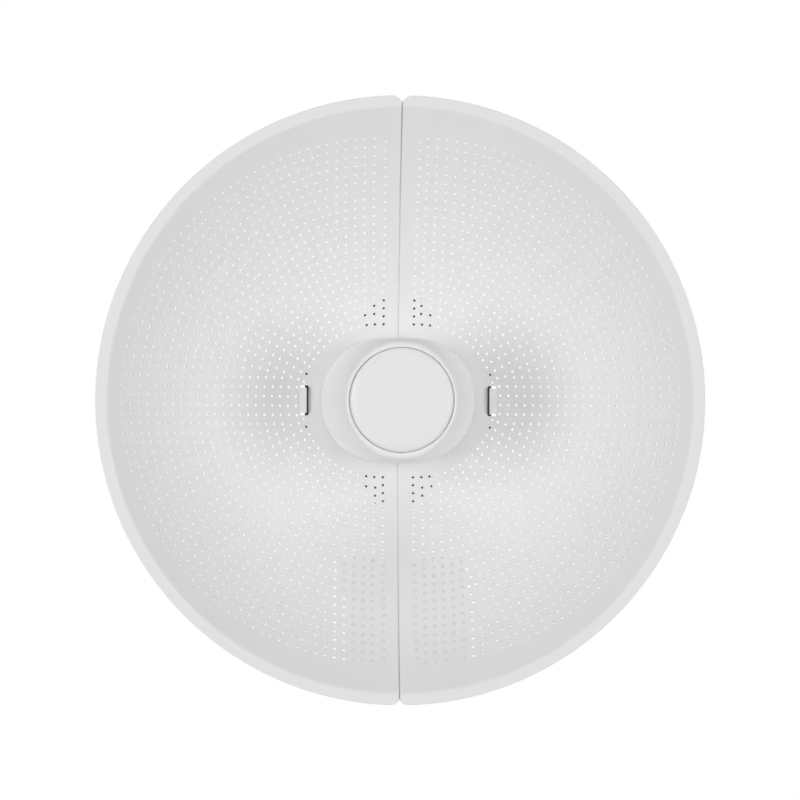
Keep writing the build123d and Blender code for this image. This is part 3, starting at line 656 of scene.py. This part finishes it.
# The outline of the right half: points, the way into the sheet, how deep the edge is turned back, and
# how far a tongue closes the gap to the other half
def halfOutline():
    points = []
    seam = dish["seamGap"] / 2
    tangents = [math.acos((seam + width) / rimRadius) for width in dish["cornerWidth"]]
    seamEnds = [math.sqrt(rimRadius**2 - seam**2) - depth for depth in dish["notch"]]

    # One point of a corner, from 0 at the rim to 1 at the seam; the end is 0 at the top and 1 at the bottom
    def cornerPoint(share, end):
        width, depth, sign = dish["cornerWidth"][end], dish["notch"][end], 1 - 2 * end
        x = seam + width * (1 - share)
        z = math.sqrt(rimRadius**2 - x**2)
        way = Vector((2 * depth * share / width - x / z, -1)).normalized()
        if share == 1:
            way = (way + Vector((1, 0))).normalized()
        return (x, sign * (z - depth * share**2), way.x, sign * way.y, dish["lipReturn"], 0)

    def seamPoint(z):
        ramp = dish["flangeRamp"]
        blend = min(max((dish["flangeTo"] + ramp - abs(z)) / ramp, 0), 1)
        deep = dish["lipReturn"] + (dish["seamFlange"] - dish["lipReturn"]) * blend
        return (seam, z, 1, 0, deep if abs(z) > dish["flangeFrom"] else dish["sheet"], dish["tongue"])

    steps = dish["rimSteps"]
    for j in range(steps + 1):                                  # rim, from the bottom corner to the top one
        angle = -tangents[1] + (tangents[0] + tangents[1]) * j / steps
        way = (-math.cos(angle), -math.sin(angle))
        points.append((-rimRadius * way[0], -rimRadius * way[1], *way, dish["lipReturn"], 0))
    steps = dish["cornerSteps"]
    points += [cornerPoint(j / steps, 0) for j in range(1, steps + 1)]
    opening = dish["openingHeight"] / 2
    outerEnd, innerEnd = dish["flangeFrom"] + dish["flangeClear"], dish["flangeFrom"] - dish["flangeClear"]
    outers = [list(np.linspace(end - dish["endClear"], outerEnd, dish["seamRows"])) for end in seamEnds]
    inner = list(np.linspace(innerEnd, opening + dish["openingClear"], dish["innerRows"]))
    points += [seamPoint(z) for z in outers[0] + inner]
    points.append((seam, opening, 1, 1, dish["sheet"], 0))
    points += [(x, opening, 0, 1, dish["sheet"], 0) for x in dish["openingCorner"]]
    straight = (dish["openingLength"] - dish["openingHeight"]) / 2
    steps = dish["openingSteps"]
    for j in range(steps + 1):                                  # round end of the opening
        angle = math.pi / 2 - math.pi * j / steps
        way = (math.cos(angle), math.sin(angle))
        points.append((straight + opening * way[0], opening * way[1], *way, dish["sheet"], 0))
    points += [(x, -opening, 0, -1, dish["sheet"], 0) for x in reversed(dish["openingCorner"])]
    points.append((seam, -opening, 1, -1, dish["sheet"], 0))
    points += [seamPoint(-z) for z in reversed(outers[1] + inner)]
    steps = dish["cornerSteps"]
    points += [cornerPoint(1 - j / steps, 1) for j in range(steps)]
    return np.array(points)


# A round hole as it lies in X and Z, narrower where the sheet is steep
def ringOfPoints(centre, radius, sides):
    slope = math.hypot(*centre) / (2 * dish["focus"])
    flat = 1 / math.sqrt(1 + slope * slope)
    out = Vector(centre).normalized()
    around = Vector((-out.y, out.x))
    ring = []
    for j in range(sides):
        angle = 2 * math.pi * (j + 0.5) / sides
        point = Vector(centre) + out * radius * flat * math.cos(angle) + around * radius * math.sin(angle)
        ring.append((point.x, point.y))
    return ring


# Extra points where the sheet has no holes, so that no triangle is long
def plainPoints(centres, outline):
    found = []
    holes, edge = np.array(centres), outline[:, :2]
    step = filling["step"]
    count = int(rimRadius / step) + 1
    rampFoot = window["inner"] - filling["fromRamp"]
    windowSide, windowEnd = window["outer"] + filling["fromWindow"], window["half"] + filling["fromWindow"]
    openingRadius = dish["openingHeight"] / 2 + filling["fromOpening"]
    for i in range(count):
        for j in range(-count, count + 1):
            x = step * (i + 0.5 * (j % 2))
            z = step * j * filling["rowStep"]
            onSheet = x > filling["fromSeam"] and math.hypot(x, z) < lipRadius - filling["fromLip"]
            inOpening = math.hypot(max(x - filling["openingX"], 0), z) < openingRadius
            nearWindow = rampFoot < x < windowSide and abs(z) < windowEnd
            if onSheet and not inOpening and not nearWindow:
                fromEdge = np.hypot(*(edge - (x, z)).T).min()
                fromHole = np.hypot(*(holes - (x, z)).T).min()
                if fromEdge > filling["fromEdge"] and fromHole > filling["fromHole"]:
                    found.append((x, z))
    return found


def creasePoints():
    found = []
    half = dish["creaseHalf"]
    steps = filling["creaseSteps"]
    limit = math.pi / 2 - filling["creaseClear"] / lipRadius
    for radius in (lipRadius - half, lipRadius - half / 2, lipRadius, lipRadius + half / 2, lipRadius + half):
        for j in range(steps + 1):
            angle = -limit + 2 * limit * j / steps
            found.append((radius * math.cos(angle), radius * math.sin(angle)))
    return found


def rampPoints():
    found = []
    end = window["half"] + filling["rampClear"]
    for z in np.linspace(-end, end, filling["rampRows"] + 1):
        for j in range(filling["rampSteps"]):
            share = filling["rampStart"] - j / filling["rampSteps"]
            found.append((window["inner"] - window["ramp"] * share, z))
    return found


# The flat pattern of a half: its points, its triangles and the points of each loop. The first loop is the
# outline, and the others stay open
def flatPattern(loops, extra):
    coordinates, edges, spans = [], [], []
    for loop in loops:
        first = len(coordinates)
        coordinates += loop
        spans.append(range(first, first + len(loop)))
        edges += [(first + j, first + (j + 1) % len(loop)) for j in range(len(loop))]
    scale = 1000.0                                              # the triangles are found in millimetres
    flat = [Vector((x * scale, z * scale)) for x, z in coordinates + extra]
    made = geometry.delaunay_2d_cdt(flat, edges, [], 1, 1e-6)   # 1 keeps what is inside the outline
    points = np.array([(v.x, v.y) for v in made[0]]) / scale
    where = {source: index for index, sources in enumerate(made[3]) for source in sources}
    found = [[where[source] for source in span] for span in spans]
    loopOf = np.full(len(points), -1)
    for number, loop in enumerate(found[1:]):
        loopOf[loop] = number
    triangles = np.array(made[2])
    own = loopOf[triangles]
    inHole = (own[:, 0] >= 0) & (own[:, 0] == own[:, 1]) & (own[:, 1] == own[:, 2])
    return points, triangles[~inHole].tolist(), found


# Angles up to a limit in equal steps, without the zero
def anglesTo(limit, steps):
    return [limit * j / steps for j in range(1, steps + 1)]


# The turned edge, from the front to the back: rows of how far into the sheet, and the place along Y
def edgeRows(outline, rimY):
    turned, tongue, radius = outline[:, 4], outline[:, 5], dish["edgeRadius"]
    rows = []
    for angle in anglesTo(math.pi / 2, dish["edgeSteps"]):
        rows.append((radius * (1 - math.sin(angle)), rimY + radius * (1 - math.cos(angle))))
    drop = dish["tongueDrop"] * (outline[:, 1] / rimRadius)**dish["tongueShape"]
    tongueY = rimY + dish["tongueDepth"] + drop
    tongueY = np.minimum(tongueY, rimY + turned - dish["tongueRoom"])
    rows.append((0.0, tongueY))
    rows.append((-tongue, tongueY + dish["tongueEdge"]))
    rows.append((-tongue, rimY + turned))
    rows.append((np.where(turned > dish["sheet"] + hair, dish["sheet"], radius / 2), rimY + turned))
    return rows


def dishHalf(side, name):
    outline = halfOutline()
    centres = holeCentres(side)
    ways = outline[:, 2:4]
    border = outline[:, :2] + dish["edgeRadius"] * ways
    up = list(np.linspace(-window["half"], window["half"], window["steps"] + 1))
    loops = [[tuple(point) for point in border]]
    loops.append([(window["outer"], z) for z in up] + [(window["inner"], z) for z in up[::-1]])
    for centre, radius in zip(centres, holeRadii(side, centres)):
        loops.append(ringOfPoints(centre, radius, punching["sides"]))
    extra = plainPoints(centres, outline) + creasePoints() + rampPoints()
    flatPoints, triangles, (rim, *holes) = flatPattern(loops, extra)

    front, normals = sheetPoints(flatPoints[:, 0], flatPoints[:, 1])
    count = len(front)
    points = [front, front - dish["sheet"] * normals]
    faces = triangles + [[v + count for v in face[::-1]] for face in triangles]
    sheetLoops = 3 * len(faces)
    for hole in holes:
        faces += quadStrip(hole, [v + count for v in hole])
    rings = [rim]
    total = 2 * count
    for inset, y in edgeRows(outline, front[rim, 1]):
        place = outline[:, :2] + np.multiply(np.reshape(inset, (-1, 1)), ways)
        points.append(np.stack([place[:, 0], y, place[:, 1]], axis=1))
        rings.append(list(range(total, total + len(rim))))
        total += len(rim)
    rings.append([v + count for v in rim])
    faces += [face[::-1] for face in ringFaces(rings, False)]

    points = np.concatenate(points)
    if side < 0:
        points = points * (-1, 1, 1)
        normals = normals * (-1, 1, 1)
        faces = [face[::-1] for face in faces]
    mesh = bpy.data.meshes.new(name)
    mesh.from_pydata(points.tolist(), [], faces)
    mesh.shade_smooth()
    mesh.set_sharp_from_angle(angle=math.radians(dish["sharpAngle"]))
    loopNormals = np.array([corner.vector for corner in mesh.corner_normals])
    corners = np.empty(len(mesh.loops), np.int32)
    mesh.loops.foreach_get("vertex_index", corners)
    shown = corners[:sheetLoops]                                # the sheet's own faces get their exact normals
    exact = normals[shown % count]
    loopNormals[:sheetLoops] = np.where((shown < count)[:, None], exact, -exact)
    mesh.normals_split_custom_set(loopNormals.tolist())
    return mesh


for side, name in ((1, "dishRight"), (-1, "dishLeft")):
    half = addPiece(name, dishHalf(side, name))
    print(name, "faces:", len(half.data.polygons))


# Feed shroud

shroud = {
    "length": 0.1024, "width": 0.0796, "rimRadius": 0.0348, "rimStraight": 0.00015, "wall": 0.0024,
    "edge": 0.0015, "edgeSteps": 6, "edgeDepth": 0.0026, "edgeTurn": 45, "innerEdge": 0.0009, "innerSteps": 4,
    "capRadius": 0.0324, "capGap": 0.00014, "shoulder": 1.4, "shoulderShape": 3, "seatDepth": 0.0058,
    "ledge": 0.003, "ledgeThickness": 0.0024, "seatGap": 0.0003, "seatShare": 0.05, "seatRounds": 20,
    "arcPoints": 48, "sidePoints": 6, "rows": 24, "innerRows": 6, "sharpAngle": 35,
}
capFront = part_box("feed_shroud")[0].y


# An oval with round ends, as points around it
def ovalLoop(straight, radius):
    loop = []
    for side in (1, -1):
        for j in range(shroud["arcPoints"] + 1):
            angle = -math.pi / 2 + math.pi * j / shroud["arcPoints"]
            loop.append((side * (straight + radius * math.cos(angle)), side * radius * math.sin(angle)))
        for j in range(1, shroud["sidePoints"]):
            loop.append((side * straight * (1 - 2 * j / shroud["sidePoints"]), side * radius))
    return np.array(loop)


# The wall runs straight at the sides and bows out to a shoulder above and below
def shroudRing(share, inset):
    straight = (shroud["length"] - shroud["width"]) / 2
    base = ovalLoop(straight, shroud["width"] / 2 - inset)
    rim = ovalLoop(shroud["rimStraight"], shroud["rimRadius"] - inset)
    upright = np.abs(base[:, 1]) / np.hypot(base[:, 0], base[:, 1])
    power = 1 + shroud["shoulder"] * upright**shroud["shoulderShape"]
    bowed = 1 - (1 - np.clip(share, 0, 1)**power)**(1 / power)
    return base + (rim - base) * bowed[:, None]


# How far up the wall its foot meets the dish, found in rounds
def footShare(inset, height):
    share = shroud["seatShare"]
    for _ in range(shroud["seatRounds"]):
        ring = shroudRing(share, inset)
        share = (bowlRise((ring**2).sum(axis=1)) + shroud["seatGap"]) / height
    return share


def feedShroud():
    height = vertexY - capFront
    foot, inside = footShare(0.0, height), footShare(shroud["wall"], height)
    recess, seat = shroud["capRadius"] + shroud["capGap"], capFront + shroud["seatDepth"]
    ledge, ledgeBack = shroud["capRadius"] - shroud["ledge"], seat + shroud["ledgeThickness"]
    rows = []                                                   # rings in X and Z, and their places along Y
    for share in np.linspace(foot, 1 - shroud["edgeDepth"] / height, shroud["rows"] + 1):
        rows.append((shroudRing(share, 0.0), vertexY - share * height))
    limit = math.radians(shroud["edgeTurn"])
    for angle in anglesTo(limit, shroud["edgeSteps"]):
        inset = shroud["edge"] * (1 - math.cos(angle)) / (1 - math.cos(limit))
        left = shroud["edgeDepth"] * (1 - math.sin(angle) / math.sin(limit))
        rows.append((shroudRing(1 - left / height, inset), capFront + left))
    for angle in anglesTo(math.pi / 2, shroud["innerSteps"]):
        inset = shroud["innerEdge"] * (1 - math.sin(angle))
        rows.append((ovalLoop(0.0, recess + inset), capFront + shroud["innerEdge"] * (1 - math.cos(angle))))
    rows += [(ovalLoop(0.0, recess), seat), (ovalLoop(0.0, ledge), seat), (ovalLoop(0.0, ledge), ledgeBack)]
    for share in np.linspace(1 - (ledgeBack - capFront) / height, inside, shroud["innerRows"] + 1):
        rows.append((shroudRing(share, shroud["wall"]), vertexY - share * height))
    count = len(foot)
    points = [np.stack([ring[:, 0], np.broadcast_to(y, (count,)), ring[:, 1]], axis=1) for ring, y in rows]
    rings = [list(range(i * count, (i + 1) * count)) for i in range(len(rows))]
    faces = ringFaces(rings, True)
    return closedMesh("feedShroud", np.concatenate(points).tolist(), faces, shroud["sharpAngle"])


addPiece("feedShroud", feedShroud())


# Round parts about an axis

hardwareSides = 48


def circle(radius, along, sides=hardwareSides):
    return np.full(sides, radius), np.full(sides, along)


def turnsOf(sides):
    return 2 * math.pi * np.arange(sides) / sides


# Rings about an axis, each with its radii and its places along the axis; a bare number is the place of a tip
def stacked(rings, origin, axis):
    axis = Vector(axis)
    second = axis.cross(Vector((0, 0, 1))).normalized()
    first = second.cross(axis)
    points, loops = [], []
    for ring in rings:
        if isinstance(ring, float):
            loops.append([len(points)])
            points.append(Vector(origin) + axis * ring)
            continue
        loops.append(list(range(len(points), len(points) + len(ring[0]))))
        for radius, along, turn in zip(*ring, turnsOf(len(ring[0]))):
            way = first * math.cos(turn) + second * math.sin(turn)
            points.append(Vector(origin) + way * float(radius) + axis * float(along))
    return points, ringFaces(loops, not isinstance(rings[0], float))


# Feed cap, with a low crown and a soft edge
cap = {
    "edge": 0.0060, "drop": 0.0042, "edgeTurn": 72, "edgeSteps": 12, "crown": 0.0003, "crownShape": 3,
    "rings": 12, "backEdge": 0.0004, "sides": 160, "sharpAngle": 35,
}


def feedCap():
    low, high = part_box("feed_cap")
    radius, thickness = high.x, high.y - low.y
    limit = math.radians(cap["edgeTurn"])
    flat = radius - cap["edge"] * math.sin(limit)
    profile = []
    for j in range(1, cap["rings"] + 1):
        share = j / cap["rings"]
        profile.append((flat * share, -cap["crown"] * share**cap["crownShape"]))
    for angle in anglesTo(limit, cap["edgeSteps"]):
        fall = cap["drop"] * (1 - math.cos(angle))
        profile.append((flat + cap["edge"] * math.sin(angle), -cap["crown"] - fall))
    profile += [(radius, cap["backEdge"] - thickness), (radius - cap["backEdge"], -thickness)]
    rings = [0.0] + [circle(*place, cap["sides"]) for place in profile] + [-thickness]
    return closedMesh("feedCap", *stacked(rings, (0, low.y, 0), (0, -1, 0)), cap["sharpAngle"])


addPiece("feedCap", feedCap())
print("feed made")


# Normals weighted by area, so that flat faces stay flat beside their broken edges
def weightNormals(mesh, angle):
    limit = math.cos(math.radians(angle))
    around = [[] for _ in mesh.vertices]
    for face in mesh.polygons:
        for vertex in face.vertices:
            around[vertex].append((face.normal.copy(), face.area))
    found = []
    for face in mesh.polygons:
        for vertex in face.vertices:
            near = [normal * area for normal, area in around[vertex] if normal.dot(face.normal) > limit]
            found.append(sum(near, Vector()).normalized())
    mesh.normals_split_custom_set(found)


breaking = {"merge": 1e-6, "flatAngle": 0.6, "fromAngle": 32, "steps": 2, "sharpAngle": 40}
brokenEdges = {
    "CatchRight": 0.00035, "CatchLeft": 0.00035, "HubFrame": 0.0003, "RearHousing": 0.0003, "CableDoor": 0.0003,
    "Knuckle": 0.0006, "TiltBracket": 0.0005, "MastSaddle": 0.0006, "MastJaw": 0.0006,
}


# A copy of a CAD node with its edges broken
def softened(name, width):
    mesh = nodes[framed(name)].data.copy()
    mesh.name = name
    work = bmesh.new()
    work.from_mesh(mesh)
    bmesh.ops.remove_doubles(work, verts=work.verts, dist=breaking["merge"])
    flat, edge = math.radians(breaking["flatAngle"]), math.radians(breaking["fromAngle"])
    bmesh.ops.dissolve_limit(work, angle_limit=flat, verts=work.verts, edges=work.edges)
    sharp = [e for e in work.edges if e.is_manifold and e.calc_face_angle() > edge]
    bmesh.ops.bevel(
        work, geom=sharp, offset=width, offset_type="OFFSET", segments=breaking["steps"], profile=0.5,
        affect="EDGES", clamp_overlap=False, miter_outer="SHARP",
    )
    smoothMesh(mesh, work, breaking["sharpAngle"])
    weightNormals(mesh, breaking["sharpAngle"])
    return mesh


for name, width in brokenEdges.items():
    addPiece(name, softened(name, width))
print("edges broken on", len(brokenEdges), "pieces")


# Bolts, nuts, washers and screws
hardware = {
    "sharpAngle": 28, "play": 0.00002, "chamfer": math.tan(math.radians(28)), "flatShare": 0.95,
    "boltEnd": 0.0008, "plainShare": 0.35, "washerEdge": 0.0001, "nutBore": 0.0003,
}
# The depth and the pitch are those of a screw with the full radius or more, and less on thinner ones
thread = {
    "radius": 0.004, "pitch": 0.00125, "depth": 0.00055, "rows": 7, "steepness": 1.35, "crest": 0.2,
}
turns = turnsOf(hardwareSides)
hexShape = 1 / np.cos(np.mod(turns, math.pi / 3) - math.pi / 6)


def level(along):
    return np.full(hardwareSides, along)


def hardwarePiece(name, shells):
    points, faces = [], []
    for shellPoints, shellFaces in shells:
        faces += [[v + len(points) for v in face] for face in shellFaces]
        points += shellPoints
    addPiece(name, closedMesh(name, points, faces, hardware["sharpAngle"]))


# One end of a hexagon, with its corners turned down
def hexEnd(flat, along, outward):
    shown = flat * hardware["flatShare"]
    corners = flat * hexShape
    return [circle(shown, along), (corners, along - outward * (corners - shown) * hardware["chamfer"])]


# The turned-down rim of a head, from a share of its radius to a share of its height
def domeRings(radius, head, flat, wall, steps):
    rings = []
    for angle in [0.0] + anglesTo(math.pi / 2, steps):
        width, height = flat + (1 - flat) * math.sin(angle), wall + (1 - wall) * math.cos(angle)
        rings.append(circle(radius * width, -head * height))
    return rings + [circle(radius, 0.0)]


def threadRows(radius, start, end):
    scale = min(radius / thread["radius"], 1)
    pitch, depth = thread["pitch"] * scale, thread["depth"] * scale
    count = int((end - start) / pitch * thread["rows"])
    rings = []
    for i in range(count + 1):
        along = start + (end - start) * i / count
        wave = np.abs(2 * np.mod(along / pitch - turns / (2 * math.pi), 1) - 1)
        wave = np.clip(thread["steepness"] * wave - thread["crest"], 0, 1) * min(1, 2 * (along - start) / pitch)
        rings.append((radius - depth * wave, level(along)))
    return rings


# The shank from its head to its chamfered tip, threaded past the plain share
def shankRings(radius, length, plain):
    tip = hardware["boltEnd"] * radius / thread["radius"]
    rings = [circle(radius, 0.0)]
    rings += threadRows(radius, length * plain, length - tip)
    return rings + [circle(radius - tip, length), length]


def hexBolt(origin, axis, radius, flat, head, length):
    rings = [-head] + hexEnd(flat, -head, -1) + [(flat * hexShape, level(0.0))]
    return stacked(rings + shankRings(radius, length, hardware["plainShare"]), origin, axis)


def hexNut(origin, axis, bore, flat, height):
    widen = hardware["nutBore"]
    rings = hexEnd(flat, 0.0, -1) + hexEnd(flat, height, 1)[::-1]
    rings += [circle(bore + widen, height), circle(bore, height - widen)]
    rings += [circle(bore, widen), circle(bore + widen, 0.0)]
    return stacked(rings, origin, axis)


def washer(origin, axis, bore, radius, thickness):
    edge = hardware["washerEdge"]
    rings = [circle(bore, 0.0), circle(radius - edge, 0.0), circle(radius, edge)]
    rings += [circle(radius, thickness - edge), circle(radius - edge, thickness), circle(bore, thickness)]
    return stacked(rings, origin, axis)


# A bolt across the bracket, with its nut and a washer on each side
cross = {"head": 1.4, "washer": 0.0012, "radii": {"pivot": 0.004, "lock": 0.003}}


def crossHardware(prefix, radius):
    low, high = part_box(prefix + "_bolt")
    y, z = (low.y + high.y) / 2, (low.z + high.z) / 2
    flat, head = (high.y - low.y) / 2, radius * cross["head"]
    seat = high.x - head
    bolt = hexBolt((seat, y, z), (-1, 0, 0), radius, flat, head, seat - low.x)
    hardwarePiece(prefix + "Bolt", [bolt])
    low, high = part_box(prefix + "_nut")
    bore = radius + hardware["play"]
    nut = hexNut((high.x, y, z), (-1, 0, 0), bore, flat, high.x - low.x)
    hardwarePiece(prefix + "Nut", [nut])
    low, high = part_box(prefix + "_washers")
    outer, thick = (high.y - low.y) / 2, cross["washer"]
    shells = [washer((side * (high.x - thick), y, z), (side, 0, 0), bore, outer, thick) for side in (-1, 1)]
    hardwarePiece(prefix + "Washers", shells)


for prefix, radius in cross["radii"].items():
    crossHardware(prefix, radius)

# The two bolts of the mast clamp, with round heads: the last three say how the heads are turned down
clamp = {"radius": 0.004, "play": 0.00005, "head": 0.7, "headFlat": 0.55, "headWall": 0.15, "headSteps": 6}


def clampBolt(origin, axis, headRadius, head, length):
    rings = [-head] + domeRings(headRadius, head, clamp["headFlat"], clamp["headWall"], clamp["headSteps"])
    return stacked(rings + shankRings(clamp["radius"], length, hardware["plainShare"]), origin, axis)


def clampHardware():
    axis, bore = (0, 1, 0), clamp["radius"] + clamp["play"]
    low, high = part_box("clamp_bolts")
    headRadius, head = (high.z - low.z) / 2, clamp["radius"] * clamp["head"]
    x = high.x - headRadius
    ends = (-x, x)
    length = high.y - low.y - head
    bolts = [clampBolt((end, low.y + head, 0), axis, headRadius, head, length) for end in ends]
    hardwarePiece("clampBolts", bolts)
    for name, shape in (("clampNuts", hexNut), ("clampWashers", washer)):
        low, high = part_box(framed(name))
        shells = [shape((end, low.y, 0), axis, bore, high.x - x, high.y - low.y) for end in ends]
        hardwarePiece(name, shells)


clampHardware()

# Screws stand in rows of four, and their heads face the mast
screwRows = {
    "frameScrews": {"headRadius": 0.0036, "radius": 0.0020, "head": 0.0024},
    "knuckleScrews": {"headRadius": 0.0028, "radius": 0.0015, "head": 0.0018},
}
screwHead = {"flat": 0.8, "wall": 0.6, "steps": 5, "plainShare": 0.1}
lobes = {"count": 6, "width": 0.5, "wave": 0.075, "depth": 0.6, "floorWidth": 0.85, "wallShare": 0.85}


# A screw with a lobed socket; its head lies on the near side of the origin
def lobeScrew(origin, axis, radius, headRadius, head, length):
    socket = headRadius * (lobes["width"] + lobes["wave"] * np.cos(lobes["count"] * turns))
    depth = head * lobes["depth"]
    rings = [depth - head, (socket * lobes["floorWidth"], level(depth - head))]
    rings += [(socket, level(depth * lobes["wallShare"] - head)), (socket, level(-head))]
    rings += domeRings(headRadius, head, screwHead["flat"], screwHead["wall"], screwHead["steps"])
    return stacked(rings + shankRings(radius, length, screwHead["plainShare"]), origin, axis)


for name, row in screwRows.items():
    low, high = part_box(framed(name))
    centre, half, seat = (low + high) / 2, (high - low) / 2, high.y - row["head"]
    shells = []
    for sideX in (-1, 1):
        for sideZ in (-1, 1):
            x = centre.x + sideX * (half.x - row["headRadius"])
            z = centre.z + sideZ * (half.z - row["headRadius"])
            sizes = (row["radius"], row["headRadius"], row["head"], seat - low.y)
            shells.append(lobeScrew((x, seat, z), (0, -1, 0), *sizes))
    hardwarePiece(name, shells)


# The back plates, drawn down to the last holes, each with a peg in every hole that it covers
def peggedPlate(side, name):
    nodeName = framed(name)
    work = bmesh.new()
    work.from_mesh(nodes[nodeName].data)
    if side < 0:
        for height in (plate["stepTop"], plate["stepFoot"]):
            parts = work.verts[:] + work.edges[:] + work.faces[:]
            bmesh.ops.bisect_plane(work, geom=parts, plane_co=(0, 0, height), plane_no=(0, 0, 1))
    work.verts.index_update()
    points = [v.co.copy() for v in work.verts]
    shells = [(points, [[v.index for v in face.verts] for face in work.faces])]
    work.free()
    low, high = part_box(nodeName)
    foot, start = low.z + plate["foot"], plate["stepFrom"]
    for point in points:
        if point.z < foot:
            fallen = point.z - plate["reach"]
            point.y -= bowlRise(fallen**2 - point.z**2)
            point.z = fallen
        if side < 0 and point.z < plate["stepFoot"] + hair and point.x < -start:
            drawn = (plate["stepX"] - start) / (abs(low.x) - start) * (point.x + start) - start
            point.y -= bowlRise(drawn**2 - point.x**2)
            point.x = drawn
    centres = holeCentres(side)
    for (x, z), covered in zip(centres, coveredHoles(side, centres)):
        if covered:
            places, normals = sheetPoints(np.array([x]), np.array([z]))
            origin, axis = Vector(places[0]), Vector(normals[0])
            origin.x, axis.x = side * origin.x, side * axis.x
            root, top, radius, edge = -peg["root"], -peg["recess"], peg["radius"], peg["edge"]
            rings = [root, circle(radius, root), circle(radius, top - edge), circle(radius - edge, top), top]
            shells.append(stacked(rings, origin, axis))
    hardwarePiece(name, shells)


peggedPlate(1, "backPlateRight")
peggedPlate(-1, "backPlateLeft")
print("hardware made")


# Stage, world, lamps and camera

stage = {"floorZ": -0.62, "floorSize": 3.4, "ambient": 0.12, "sky": grey(1.0)}
floorLook = {"colour": grey(0.74), "roughness": 0.7, "patches": 2.0, "drift": 0.01}
lamps = {
    "frontSoft": {"place": (0.0, -3.0, 0.6), "size": (2.4, 1.8), "power": 6.8},
    "frontLeft": {"place": (-1.4, -2.0, 0.0), "size": (0.8, 1.2), "power": 16.2},
    "frontRight": {"place": (1.4, -2.0, 0.0), "size": (0.8, 1.2), "power": 14.0},
    "frontTop": {"place": (0.0, -1.3, 1.3), "size": (1.2, 0.6), "power": 4.0},
    "sideLeft": {"place": (-1.3, -1.2, 0.0), "size": (0.3, 0.6), "power": 0.9},
    "sideRight": {"place": (1.3, -1.2, 0.0), "size": (0.3, 0.6), "power": 0.6},
    "backLeft": {"place": (-1.7, 1.7, 0.9), "size": (1.4, 1.2), "power": 22.0},
    "backRight": {"place": (1.7, 1.7, 0.9), "size": (1.4, 1.2), "power": 18.0},
    "above": {"place": (0.0, 0.9, 2.0), "size": (1.6, 1.2), "power": 12.0},
}
view = {
    "distance": 1.828, "azimuth": -1.32, "rise": -0.33, "roll": 0.27, "lens": 132.1, "sensor": 36,
    "aimRight": -0.00059, "aimUp": 0.00006,
}


def makeFloor():
    half = stage["floorSize"] / 2
    mesh = bpy.data.meshes.new("floor")
    corners = [(-half, -half), (half, -half), (half, half), (-half, half)]
    mesh.from_pydata([(x, y, stage["floorZ"]) for x, y in corners], [], [(0, 1, 2, 3)])
    material, tree, shader, tone = newMaterial("floorPaint", floorLook)
    tree.links.new(tone, shader.inputs["Base Color"])
    mesh.materials.append(material)
    floor = newObject("floor", mesh)


# The lamps light the object; the camera, mirrors and clear plastic see a white room
def makeWorld():
    world = bpy.data.worlds.new("room")
    bpy.context.scene.world = world
    world.use_nodes = True
    tree = world.node_tree
    ambient = tree.nodes["Background"]
    ambient.inputs["Color"].default_value = stage["sky"]
    ambient.inputs["Strength"].default_value = stage["ambient"]
    white = tree.nodes.new("ShaderNodeBackground")
    white.inputs["Color"].default_value = grey(1.0)
    white.inputs["Strength"].default_value = 1.0
    rays = tree.nodes.new("ShaderNodeLightPath")
    seen = mathNode(tree, "MAXIMUM", rays.outputs["Is Camera Ray"], rays.outputs["Is Glossy Ray"])
    seen = mathNode(tree, "MAXIMUM", seen, rays.outputs["Is Transmission Ray"])
    blend = tree.nodes.new("ShaderNodeMixShader")
    tree.links.new(seen, blend.inputs[0])
    tree.links.new(ambient.outputs[0], blend.inputs[1])
    tree.links.new(white.outputs[0], blend.inputs[2])
    tree.links.new(blend.outputs[0], tree.nodes["World Output"].inputs["Surface"])


def makeLamp(name, settings, target):
    data = bpy.data.lights.new(name, "AREA")
    data.shape = "RECTANGLE"
    data.size, data.size_y = settings["size"]
    data.energy = settings["power"]
    lamp = newObject(name, data)
    lamp.location = settings["place"]
    lamp.rotation_euler = (target - lamp.location).to_track_quat("-Z", "Y").to_euler()


def makeCamera():
    target = Vector((0, lipY, 0))
    azimuth, rise = math.radians(view["azimuth"]), math.radians(view["rise"])
    away = Vector((math.sin(azimuth) * math.cos(rise), -math.cos(azimuth) * math.cos(rise), math.sin(rise)))
    data = bpy.data.cameras.new("camera")
    data.lens = view["lens"]
    data.sensor_width = view["sensor"]
    camera = newObject("camera", data)
    turn = (-away).to_track_quat("-Z", "Y").to_matrix()
    right, up = turn.col[0].copy(), turn.col[1].copy()
    camera.location = target + away * view["distance"] + right * view["aimRight"] + up * view["aimUp"]
    turn = turn @ Matrix.Rotation(math.radians(view["roll"]), 3, "Z")
    camera.rotation_euler = turn.to_euler()
    bpy.context.scene.camera = camera


makeFloor()
makeWorld()
for name, settings in lamps.items():
    makeLamp(name, settings, Vector((0, lipY, 0)))
makeCamera()
bpy.context.scene.view_settings.view_transform = "Standard"
print("stage set")
